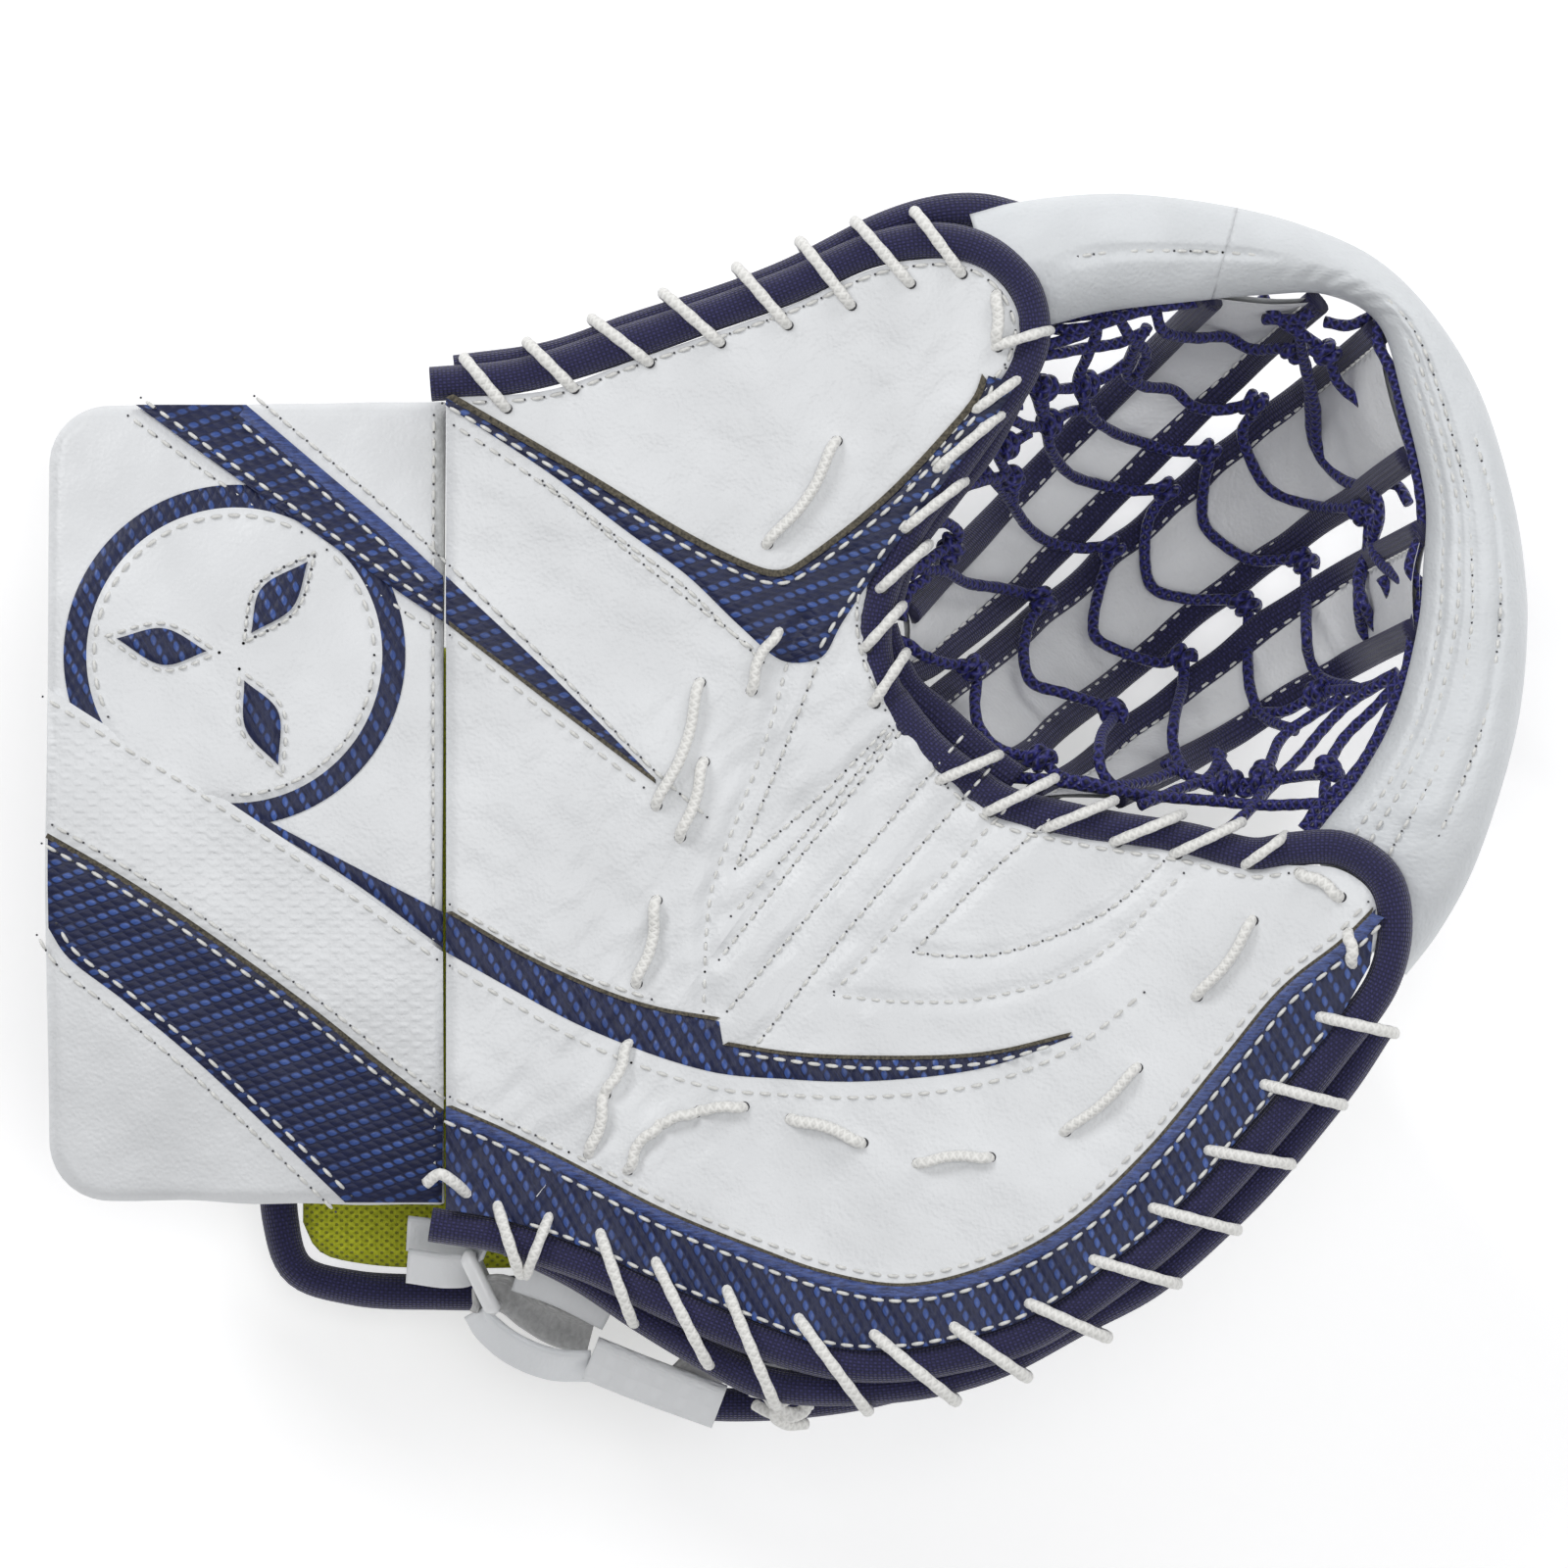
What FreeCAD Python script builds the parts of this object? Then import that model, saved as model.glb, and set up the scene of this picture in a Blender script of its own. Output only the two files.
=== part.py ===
import FreeCAD, Part
import math
import os

Vector = FreeCAD.Vector
UP = Vector(0, 0, 1)

# ---- driving dimensions, millimetres; +Z up, glove lying on its back, palm up, fingers to +X ----
# levels
FACE_TOP = 105.0          # top of the palm leather
SKIN = 1.6                # thickness of the face leather
FACE_FOAM = 16.0          # foam under the face leather
INSERT = 2.5              # thickness of the plastic stiffeners
LINER = 2.4               # thickness of the inner linings
BACK_PAD = 24.0           # thickness of the back-of-hand pad
POCKET_LOW = 9.0          # lowest point of the middle pocket strap
GAP = 0.3                 # clearance between neighbouring layers
HAIRLINE = 0.05           # clearance under a layer that is sewn down
PANEL = 0.9               # top of a sewn panel above the face it lies on

# fold of the glove
CROTCH = Vector(27, 27, FACE_TOP + 5)     # the fold axis passes here
FOLD_ANGLE = 54.0                         # plan direction of the fold axis, degrees from +X
FINGER_LIFT = 8.0                         # how far the finger side stands above flat, degrees

# rolls, cords and straps
ROLL = 4.4                # radius of the nylon binding rolls
LACE = 1.5                # radius of the laces
STRAP_LEATHER = 13.0      # width of the leather of a pocket strap
STRAP_BINDING = 5.6       # width of one bound edge of a pocket strap
STRAP_THICK = 2.4         # thickness of a pocket strap
RIM_WIDE = 27.0           # width of the padded pocket rim
RIM_HIGH = 23.0           # height of the padded pocket rim
RIM_BREAK = 58.0          # distance of the rim's second cut from the fold

# cuff
CUFF_LEFT = -187.5
CUFF_RIGHT = -87.0
CUFF_HALF = 101.5         # half width over the two side walls
CUFF_MIDDLE = 2.5         # Y of the middle of the cuff
CUFF_CROWN = 15.0         # how far the middle of the cuff stands above its corners
CUFF_LOW = 36.0           # bottom edge of the side walls
CUFF_BOARD = 13.0         # thickness of the padded board

FOLD_DIR = Vector(math.cos(math.radians(FOLD_ANGLE)), math.sin(math.radians(FOLD_ANGLE)), 0)
FOLD_NORMAL = Vector(-FOLD_DIR.y, FOLD_DIR.x, 0)      # points to the thumb side
FOAM_TOP = FACE_TOP - SKIN
FOAM_LOW = FOAM_TOP - FACE_FOAM
INSERT_LOW = FOAM_LOW - GAP - INSERT
LINER_LOW = INSERT_LOW - GAP - LINER
EDGE_Z = FACE_TOP - ROLL - 0.4                        # height of the binding roll on a face
LOWER_EDGE_Z = EDGE_Z - 2 * ROLL - 0.4                # height of the roll of the pad behind it


# ---- general shapes ----
def flat(x, y, z=0.0):
    """A point given by its plan position and height."""
    return Vector(x, y, z)


def curve(points, z=0.0):
    """An open smooth edge through plan points, all at one height."""
    spline = Part.BSplineCurve()
    spline.interpolate([flat(x, y, z) for x, y in points])
    return spline.toShape()


def outline(runs, z):
    """A closed wire of smooth runs and straight lines; neighbouring runs share their end points."""
    edges = []
    for run in runs:
        if len(run) == 2:
            edges.append(Part.makeLine(flat(run[0][0], run[0][1], z), flat(run[1][0], run[1][1], z)))
        else:
            edges.append(curve(run, z))
    return Part.Wire(edges)


def sheet(runs, low, high):
    """A flat sheet with the given plan outline between two heights."""
    return Part.Face(outline(runs, low)).extrude(UP * (high - low))


def beside(points, distance):
    """Plan points moved to the left of their direction of travel by a distance."""
    moved = []
    for i, (x, y) in enumerate(points):
        before = points[max(i - 1, 0)]
        after = points[min(i + 1, len(points) - 1)]
        along = Vector(after[0] - before[0], after[1] - before[1], 0).normalize()
        moved.append((x - along.y * distance, y + along.x * distance))
    return moved


def roll(points, z, radius=ROLL):
    """A round roll along a smooth level line."""
    return tube([flat(x, y, z) for x, y in points], radius)


def tube(points, radius):
    """A round tube along a smooth line in space."""
    spline = Part.BSplineCurve()
    spline.interpolate(points)
    spine = Part.Wire([spline.toShape()])
    return around(spine, points[0], spline.tangent(spline.FirstParameter)[0], radius)


def around(spine, start, direction, radius):
    """A solid of round section along a wire."""
    ring = Part.Wire([Part.makeCircle(radius, start, direction)])
    pipe = Part.BRepOffsetAPI.MakePipeShell(spine)
    pipe.setFrenetMode(False)
    pipe.add(ring)
    pipe.build()
    pipe.makeSolid()
    return pipe.shape()


def cord(points, radius, bend):
    """A round cord of straight runs joined by arcs that touch both runs."""
    edges = []
    here = points[0]
    for i in range(1, len(points) - 1):
        corner = points[i]
        before = (points[i - 1] - corner).normalize()
        after = (points[i + 1] - corner).normalize()
        angle = before.getAngle(after)
        if angle > math.radians(176):
            continue
        room = 0.48 * min((points[i - 1] - corner).Length, (points[i + 1] - corner).Length)
        cut = min(bend / math.tan(angle / 2), room)
        first = corner + before * cut
        last = corner + after * cut
        half = (before + after).normalize()
        middle = corner + half * (cut * (1 / math.cos(angle / 2) - math.tan(angle / 2)))
        if (first - here).Length > 0.01:
            edges.append(Part.makeLine(here, first))
        edges.append(Part.Arc(first, middle, last).toShape())
        here = last
    edges.append(Part.makeLine(here, points[-1]))
    return around(Part.Wire(edges), points[0], points[1] - points[0], radius)


def lifted(shape):
    """A shape of the finger side, turned from flat to its standing angle about the fold axis."""
    turned = shape.copy()
    turned.rotate(CROTCH, FOLD_DIR, -FINGER_LIFT)
    return turned


def fold_point(along, side):
    """A plan point at a distance along the fold from the crotch and to the thumb side of it."""
    p = CROTCH + FOLD_DIR * along + FOLD_NORMAL * side
    return (p.x, p.y)


def wraps(holes, outers, top, low):
    """A lace wound round an edge: down each hole, under the edge and over it again."""
    points = []
    for (hx, hy), (ox, oy) in zip(holes, outers):
        out = Vector(ox - hx, oy - hy, 0).normalize()
        points.append(flat(hx, hy, low - 1.0 - LACE))
        points.append(flat(hx, hy, top + LACE + 0.2))
        points.append(flat(ox + out.x, oy + out.y, top + LACE + 0.2))
        points.append(flat(ox + 2.4 * out.x, oy + 2.4 * out.y, (top + low) / 2))
        points.append(flat(ox + out.x, oy + out.y, low - 1.0 - LACE))
    return cord(points, LACE, 2.2)


def stitches(pairs, top, low):
    """A lace that shows on the face between each pair of holes and runs behind it to the next."""
    points = []
    for start, end in pairs:
        points.append(flat(start[0], start[1], low))
        points.append(flat(start[0], start[1], top + LACE + 0.1))
        points.append(flat(end[0], end[1], top + LACE + 0.1))
        points.append(flat(end[0], end[1], low))
    return cord(points, LACE, 2.0)


# ---- plan lines ----
HEEL_LOW = fold_point(-153, 0.6)
THUMB_OUTER = [(-86, 105), (-60, 107), (-40, 114), (0, 128), (25, 138.5), (45, 139), (55, 132), (59, 122),
               (57, 113)]
THUMB_POCKET = [(57, 113), (47, 100), (29, 76), (20, 58), (19, 40), fold_point(-2, 0.6)]
FINGER_START = fold_point(-158, -0.6)
FINGER_POCKET = [fold_point(-3, -0.6), (42, 6), (53, -0.5), (75, -6), (100, -10), (117, -14), (126, -13)]
FINGER_TIP = [(126, -13), (139, -14), (147, -21), (148, -30), (145, -40)]
FINGER_OUTER = [(145, -40), (125, -68), (98, -98), (80, -113), (60, -126), (40, -132), (25, -134),
                (10, -133), (-10, -126), (-30, -118), (-50, -109), FINGER_START]
BACK_EDGE = [(148, -56), (136, -72), (110, -100), (92, -114), (55, -136), (35, -141.5), (15, -143.5),
             (-5, -142), (-22, -134), (-37, -125), (-52, -114), (-64, -109)]
THUMB_RUNS = [[(-86, -98), (-86, 105)], THUMB_OUTER, THUMB_POCKET,
              [fold_point(-2, 0.6), HEEL_LOW], [HEEL_LOW, (-86, -98)]]
FINGER_RUNS = [[FINGER_START, fold_point(-3, -0.6)], FINGER_POCKET, FINGER_TIP, FINGER_OUTER]


THUMB_CENTRE = flat(-32, 22)       # plan point the thumb side's inner layers shrink toward
FINGER_CENTRE = flat(38, -62)      # the same for the finger side
BACK_CENTRE = flat(-58, -38)       # the same for the back of the hand


def shrunk(runs, centre, factor, low, high):
    """A sheet with the given outline drawn in toward a plan point by a factor."""
    wire = outline(runs, 0)
    matrix = FreeCAD.Matrix()
    matrix.move(-centre)
    matrix.scale(factor, factor, 1)
    matrix.move(centre)
    inner = Part.Face(wire.transformGeometry(matrix))
    inner.translate(UP * low)
    return inner.extrude(UP * (high - low))


# ---- thumb side and heel ----
def thumb_face_leather():
    return sheet(THUMB_RUNS, FOAM_TOP + HAIRLINE, FACE_TOP)


def thumb_face_foam():
    return sheet(THUMB_RUNS, FOAM_LOW, FOAM_TOP)


def thumb_plastic_insert():
    return shrunk(THUMB_RUNS, THUMB_CENTRE, 0.88, INSERT_LOW, FOAM_LOW - GAP)


def palm_liner():
    return shrunk(THUMB_RUNS, THUMB_CENTRE, 0.95, LINER_LOW, INSERT_LOW - GAP)


THUMB_LINE = [(-86, 110), (-60, 113.5), (-40, 119.5), (0, 133), (23, 143), (38, 145), (50, 142.5),
              (60, 134),
              (64, 122), (60.5, 111), (51, 98), (33.5, 74), (25, 57), (24, 41), (27.5, 31.5)]


def thumb_binding():
    return roll(THUMB_LINE, EDGE_Z)


def thumb_back_binding():
    return roll([(-84, 111), (-60, 115), (-40, 121), (0, 135), (25, 147), (40, 151), (52, 150.5)],
                LOWER_EDGE_Z, 4.2)


THUMB_BACK_RUNS = [[(-86, 40), (-86, 104)],
                   [(-86, 104), (-60, 107), (-40, 113), (0, 127), (25, 139), (40, 143), (50, 142)],
                   [(50, 142), (56, 133), (56, 120), (44, 100), (26, 76), (12, 58)],
                   [(12, 58), (-86, 40)]]


def thumb_back_pad():
    """Pad behind the thumb, with its outer side standing up to the face."""
    pad = sheet(THUMB_BACK_RUNS, 30, 46)
    wall = sheet(THUMB_BACK_RUNS, 46, LINER_LOW - GAP)
    inside = [[(-100, 20), (-100, 94)], [(-100, 94), (-60, 97), (-40, 103), (0, 117), (25, 129), (36, 132)],
              [(36, 132), (90, 110)], [(90, 110), (90, 20)], [(90, 20), (-100, 20)]]
    wall = wall.cut(sheet(inside, 45, LINER_LOW))
    return pad.fuse(wall).removeSplitter()


def thumb_side_web():
    """Fabric wall that closes the thumb space toward the pocket."""
    return upright_band([(52, 122), (44, 106), (28, 82), (12, 63)], 2.0, 46 + GAP, LINER_LOW - GAP)


THUMB_HOLES = [(-71, 102.5), (-54, 107.5), (-35, 114), (-17, 119), (0, 123.5), (16, 128.5), (31, 134),
               (44, 136)]
THUMB_WRAPS = [(-79, 115.5), (-63, 119), (-46, 124.5), (-28, 131), (-9, 137), (6, 143), (20, 149),
               (35, 153)]
SIDE_HOLES = [(53, 118), (48, 102), (38, 87), (30, 72), (24, 58), (19, 43)]
SIDE_WRAPS = [(66, 120), (60, 107), (51, 95), (41, 80), (33, 64), (29, 48)]


def thumb_lace():
    """The white lace along the thumb: round both rolls outside, round the face roll beside the pocket."""
    outer = wraps(THUMB_HOLES, THUMB_WRAPS, FACE_TOP - 0.6, LOWER_EDGE_Z - ROLL)
    side = wraps(SIDE_HOLES, SIDE_WRAPS, FACE_TOP - 0.6, EDGE_Z - ROLL - 1)
    return Part.makeCompound([outer, side])


def heel_lace():
    pairs = [((12.5, 94), (-5, 68)), ((-2, 46), (-9, 31)), ((-22, 33), (-33, 2)), ((-21, 13), (-27, -6)),
             ((-33, -22), (-38, -42)), ((-44, -58), (-50, -70))]
    return stitches(pairs, FACE_TOP, FOAM_LOW + 4)


# ---- finger side ----
def finger_face_leather():
    return lifted(sheet(FINGER_RUNS, FOAM_TOP + HAIRLINE, FACE_TOP))


def finger_face_foam():
    return lifted(sheet(FINGER_RUNS, FOAM_LOW, FOAM_TOP))


def finger_plastic_insert():
    return lifted(shrunk(FINGER_RUNS, FINGER_CENTRE, 0.88, INSERT_LOW, FOAM_LOW - GAP))


def finger_liner():
    return lifted(shrunk(FINGER_RUNS, FINGER_CENTRE, 0.95, LINER_LOW, INSERT_LOW - GAP))


FINGER_LINE = [(34, 19), (45, 9), (55, 2.5), (75, -2), (100, -6), (118, -10), (126, -8.7), (140, -9.5),
               (150.5, -18), (152.5, -30), (149.5, -42), (129, -71), (101.5, -101), (82.5, -116.5), (62, -130),
               (41, -136.5), (25, -138.5), (9, -137.5), (-12, -130.5), (-32, -122), (-52, -113)]


def finger_binding():
    return lifted(roll(FINGER_LINE, EDGE_Z))


def finger_back_binding():
    return lifted(roll(BACK_EDGE, LOWER_EDGE_Z, 4.2))


FINGER_BACK_RUNS = [[(-27, -119), (-8, -42)],
                    [(-8, -42), (20, -15)], [(20, -15), (60, -15), (110, -22), (138, -32), (142, -46)],
                    [(142, -46), (125, -68), (100, -96), (78, -116), (52, -133), (24, -144), (0, -147),
                     (-24, -148)],
                    [(-24, -148), (-27, -119)]]
FINGER_WALL_Z = 50.0


def finger_back_pad():
    """Pad behind the fingers: a plate with its outer side standing up."""
    plate = sheet(FINGER_BACK_RUNS, 0, BACK_PAD - 4)
    wall = sheet(FINGER_BACK_RUNS, BACK_PAD - 4, FINGER_WALL_Z)
    inside = [[(-50, -138), (0, -137), (22, -134), (48, -124), (72, -107), (92, -88), (112, -62),
               (128, -40)],
              [(128, -40), (128, 40)], [(128, 40), (-50, 40)], [(-50, 40), (-50, -138)]]
    wall = wall.cut(sheet(inside, BACK_PAD - 5, FINGER_WALL_Z + 1))
    return plate.fuse(wall).removeSplitter()


def finger_back_liner():
    """Mesh lining on the inner face of the finger back pad."""
    liner = sheet(FINGER_BACK_RUNS, BACK_PAD - 4 + GAP, BACK_PAD - 4 + GAP + LINER)
    inside = [[(-22, -136), (0, -135), (22, -132), (48, -122), (72, -105), (92, -86), (110, -62),
               (126, -40)],
              [(126, -40), (126, 40)], [(126, 40), (-22, 40)], [(-22, 40), (-22, -136)]]
    return liner.common(sheet(inside, 0, 60))


def finger_back_roll():
    """The roll along the free edge of the finger back pad."""
    points = [(-21, -150.5), (-8, -150.8), (4, -150), (22, -147), (38, -142), (56, -131), (78, -115.5),
              (100, -95.5),
              (123, -69), (139, -48)]
    return roll(beside(points, -1.0), FINGER_WALL_Z + ROLL + 0.3, ROLL)


def finger_side_gusset():
    """Nylon side wall between the finger back pad and the roll on the finger face."""
    line = [(-20, -136), (0, -138.5), (22, -136), (48, -126), (72, -110), (94, -90), (114, -66), (132, -42)]
    back = beside(line, 2.0)
    runs = [line, [line[-1], back[-1]], back[::-1], [back[0], line[0]]]
    return sheet(runs, FINGER_WALL_Z + GAP, LINER_LOW - 0.5)


def finger_dividers():
    """Three fabric webs that part the space for the fingers into four stalls."""
    webs = []
    for start_y, end_x, end_y in ((-48, 112, -44), (-72, 104, -66), (-94, 82, -88)):
        middle = ((22 + end_x) / 2, (start_y + end_y) / 2 - 1)
        low = BACK_PAD - 4 + 2 * GAP + LINER
        webs.append(upright_band([(22, start_y), middle, (end_x, end_y)], 1.6, low, LINER_LOW - GAP))
    return Part.makeCompound(webs)


FINGER_HOLES = [(134, -51), (120, -68), (106, -84.5), (92, -99), (77, -112), (61, -122), (42, -128.5),
                (22, -130.5),
                (3, -127), (-15, -120), (-33, -113), (-47, -106)]
FINGER_WRAPS = [(151.5, -55), (138.5, -73), (125, -88), (111.5, -103.5), (96, -118), (78, -131.5),
                (59.5, -141.5),
                (41, -147.5), (19, -150), (-3, -148.5), (-20, -138.5), (-38, -128)]


def finger_lace():
    return lifted(wraps(FINGER_HOLES, FINGER_WRAPS, FACE_TOP - 0.6, LOWER_EDGE_Z - ROLL))


POCKET_HOLES = [(39, 8.5), (51, 0.5), (66, -3.5), (83, -8), (98, -11), (114, -14)]
POCKET_WRAPS = [(47, 16), (62, 8.5), (79, 4), (96, 0.5), (112, -2), (124, -2.5)]


def pocket_edge_lace():
    return lifted(wraps(POCKET_HOLES, POCKET_WRAPS, FACE_TOP - 0.6, EDGE_Z - ROLL - 1))


def finger_face_lace():
    pairs = [((-33, -84), (-25, -76)), ((-24, -75), (-11, -74)), ((1, -77), (19, -83)), ((33, -88),
                        (51, -86.5)),
             ((70, -80), (88, -64)), ((103, -46), (117, -27)), ((129, -17), (137, -21)), ((141, -29),
                        (142, -38))]
    return lifted(stitches(pairs, FACE_TOP, FOAM_LOW + 4))


def lace_knot():
    """The tied end of the finger-side lace below the edge."""
    first = cord([flat(-8, -151, 84), flat(0, -153.5, 86), flat(6, -152, 84), flat(9, -149.5, 80)], LACE, 2)
    second = cord([flat(-4, -153.8, 81), flat(1, -150.6, 82.5), flat(7, -153.4, 87)], LACE, 2)
    return lifted(first.fuse(second))


# ---- pocket ----
STRAP_STARTS = [(35, 45), (46, 21), (82, 6)]
STRAP_ENDS = [(127, 127), (155, 107), (166, 53)]
STRAP_DEPTHS = [POCKET_LOW + 6, POCKET_LOW, POCKET_LOW + 9]
STRAP_STARTS_Z = [78, 80, 82]
STRAP_ENDS_Z = [75, 81, 88]
STRAP_STEPS = [0.0, 0.16, 0.32, 0.52, 0.72, 0.88, 1.0]      # where along a strap its heights are given


def strap_heights(k):
    """Heights of a strap's middle line at the given steps."""
    low = STRAP_DEPTHS[k]
    return [STRAP_STARTS_Z[k], 46, low + 9, low, low + 5, 38, STRAP_ENDS_Z[k]]


def strap_profile(k, low_offset, high_offset):
    """Side view of a strap: down from the palm, along the bottom and up to the rim, with a thickness."""
    start = Vector(STRAP_STARTS[k][0], STRAP_STARTS[k][1], 0)
    end = Vector(STRAP_ENDS[k][0], STRAP_ENDS[k][1], 0)
    length = (end - start).Length
    along = (end - start).normalize()
    middle = Part.BSplineCurve()
    levels = zip(STRAP_STEPS, strap_heights(k))
    middle.interpolate([start + along * (length * s) + UP * z for s, z in levels])
    count = 24
    points = {low_offset: [], high_offset: []}
    for i in range(count + 1):
        u = middle.FirstParameter + (middle.LastParameter - middle.FirstParameter) * i / count
        tangent = middle.tangent(u)[0]
        across = UP * (tangent.dot(along)) - along * tangent.z
        for offset in points:
            points[offset].append(middle.value(u) + across * offset)
    edges = []
    for offset in (low_offset, high_offset):
        spline = Part.BSplineCurve()
        spline.interpolate(points[offset])
        edges.append(spline.toShape())
    edges.append(Part.makeLine(points[low_offset][0], points[high_offset][0]))
    edges.append(Part.makeLine(points[low_offset][-1], points[high_offset][-1]))
    face = Part.Face(Part.Wire(Part.__sortEdges__(edges)))
    return face, Vector(-along.y, along.x, 0)


def strap_leather(k):
    face, side = strap_profile(k, -STRAP_THICK / 2, STRAP_THICK / 2)
    half = STRAP_LEATHER / 2
    face.translate(side * -half)
    return face.extrude(side * (2 * half))


def pocket_strap_bindings():
    """The two bound edges of each strap."""
    solids = []
    for k in range(len(STRAP_STARTS)):
        face, side = strap_profile(k, -STRAP_THICK / 2 - 0.6, STRAP_THICK / 2 + 0.6)
        for sign in (-1, 1):
            edge = face.copy()
            inner = STRAP_LEATHER / 2 + HAIRLINE
            edge.translate(side * (sign * inner))
            solids.append(edge.extrude(side * (sign * STRAP_BINDING)))
    return Part.makeCompound(solids)


RIM_LINE = [(69, 142, 91), (92, 143, 92), (112, 141.5, 92), (128, 137.5, 92.5), (144, 130, 94),
            (157, 117, 96.5),
            (167, 98, 99.5), (172.5, 76, 102.5), (173.5, 55, 105), (171.5, 33, 107), (166, 12, 109),
            (160, -4, 108), (154, -20, 99)]


def rim_piece(first, last, wide, high):
    """A length of the padded rim: a rounded section along the pocket edge."""
    points = [Vector(*p) for p in RIM_LINE[first:last]]
    spline = Part.BSplineCurve()
    spline.interpolate(points)
    spine = Part.Wire([spline.toShape()])
    start = points[0]
    direction = spline.tangent(spline.FirstParameter)[0]
    side = direction.cross(UP).normalize()
    top = side.cross(direction).normalize() * (high / 2)
    ellipse = Part.Ellipse(start + side * (wide / 2), start + top, start)
    section = Part.Wire([ellipse.toShape()])
    pipe = Part.BRepOffsetAPI.MakePipeShell(spine)
    pipe.setBiNormalMode(UP)
    pipe.add(section)
    pipe.build()
    pipe.makeSolid()
    return pipe.shape()


def rim(first, last):
    """Leather skin of the rim, hollow for its foam core."""
    return rim_piece(first, last, RIM_WIDE, RIM_HIGH).cut(
        rim_piece(first, last, RIM_WIDE - 2 * SKIN - GAP, RIM_HIGH - 2 * SKIN - GAP))


def rim_core(first, last):
    return rim_piece(first, last, RIM_WIDE - 2 * SKIN - 3 * GAP, RIM_HIGH - 2 * SKIN - 3 * GAP)


# ribs of the pocket surface: plan line and heights of the thumb edge, the three straps and the finger edge
def pocket_ribs():
    ribs = [[flat(28, 62, 86), flat(46, 86, 84), flat(62, 112, 84), flat(72, 124, 82), flat(100, 128, 80)]]
    for k in range(3):
        start = flat(*STRAP_STARTS[k])
        end = flat(*STRAP_ENDS[k])
        ribs.append([start + (end - start) * s + UP * z for s, z in zip(STRAP_STEPS, strap_heights(k))])
    ribs.append([flat(58, 5, 84), flat(84, 0, 86), flat(112, -4, 88), flat(134, -3, 90), flat(158, 30, 92)])
    return ribs


def pocket_height(x, y, ribs):
    """Height of the pocket surface at a plan point, blended from the two ribs on either side of it."""
    found = []
    for rib in ribs:
        best = None
        for i in range(len(rib) - 1):
            a = Vector(rib[i].x, rib[i].y, 0)
            b = Vector(rib[i + 1].x, rib[i + 1].y, 0)
            s = max(0.0, min(1.0, (Vector(x, y, 0) - a).dot(b - a) / (b - a).dot(b - a)))
            distance = (Vector(x, y, 0) - (a + (b - a) * s)).Length
            height = rib[i].z + (rib[i + 1].z - rib[i].z) * s
            if best is None or distance < best[0]:
                best = (distance, height)
        found.append(best)
    found.sort()
    near, far = found[0], found[1]
    return (near[1] * far[0] + far[1] * near[0]) / (near[0] + far[0] + 0.001)


def net(rows, lift):
    """Waxed cords laid over the pocket along plan lines."""
    ribs = pocket_ribs()
    cords = []
    for row in rows:
        points = [flat(x, y, pocket_height(x, y, ribs) + lift) for x, y in row]
        cords.append(cord(points, LACE, 2.0))
    return Part.makeCompound(cords)


POCKET_ROWS = [
    [(33, 42), (47, 37.5), (49, 22), (62, 14), (66, 14), (77, 9)],
    [(35, 62), (46, 59), (66, 54), (61, 40), (63, 33), (85, 25.5), (79, 12), (84, 7)],
    [(57, 80), (68, 69.5), (84, 68.5), (79, 46), (102, 39), (99, 16), (105, 11)],
    [(66, 99), (68, 91), (80, 85), (98, 83.5), (93, 68), (95, 58), (119, 54), (120, 32), (128, 23)],
    [(76, 109), (81, 99), (110, 93), (108, 75), (134, 65), (134, 40), (143, 33)],
    [(87, 114), (101, 109), (122, 105), (117, 98), (124, 84), (149, 77), (147, 50), (153, 43)],
    [(94, 125), (113, 122), (131, 118), (136, 95), (145, 84), (155, 82)]]
THUMB_ROWS = [
    [(65, 112), (76, 110), (87, 113)], [(68, 124), (80, 123), (92, 125)], [(52, 99), (60, 97), (66, 101),
                        (76, 107)],
    [(66, 118), (74, 115), (77, 108)], [(60, 104), (66, 99)], [(50, 90), (57, 86), (57, 80)]]
FINGER_ROWS = [
    [(64, 9), (84, 6), (108, 3), (134, 2)], [(104, 12), (122, 8), (138, 10)], [(112, 14), (120, 6),
                        (128, 18), (141, 30)],
    [(126, 4), (134, 19), (155, 33)], [(136, 1), (146, 20), (156, 32)]]


def pocket_lace():
    return net(POCKET_ROWS, 3.6)


def side_nets():
    return net(THUMB_ROWS + FINGER_ROWS, 7.2)


def crotch_binding():
    """The bound end of the middle straps at the foot of the pocket."""
    return tube([flat(31, 40, 81), flat(35, 29, 82), flat(44, 19, 83), flat(54, 10, 84)], 3.2)


# ---- cuff ----
def crown_line(offset):
    """Three points of the arched section of the cuff board, moved outward by an offset."""
    low = FACE_TOP - CUFF_CROWN + offset
    return ((CUFF_MIDDLE - CUFF_HALF, low), (CUFF_MIDDLE, FACE_TOP - 0.5 + offset),
            (CUFF_MIDDLE + CUFF_HALF, low))


def crown_arc(offset, x):
    a, b, c = [Vector(x, y, z) for y, z in crown_line(offset)]
    return Part.Arc(a, b, c).toShape(), a, c


def crown_band(low, high):
    """A layer of the arched cuff board between two offsets from its outer face."""
    low_arc, low_a, low_c = crown_arc(low, CUFF_LEFT)
    high_arc, high_a, high_c = crown_arc(high, CUFF_LEFT)
    edges = [low_arc, Part.makeLine(low_c, high_c), high_arc, Part.makeLine(high_a, low_a)]
    wire = Part.Wire(Part.__sortEdges__(edges))
    return Part.Face(wire).extrude(Vector(CUFF_RIGHT - CUFF_LEFT, 0, 0))


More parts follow.
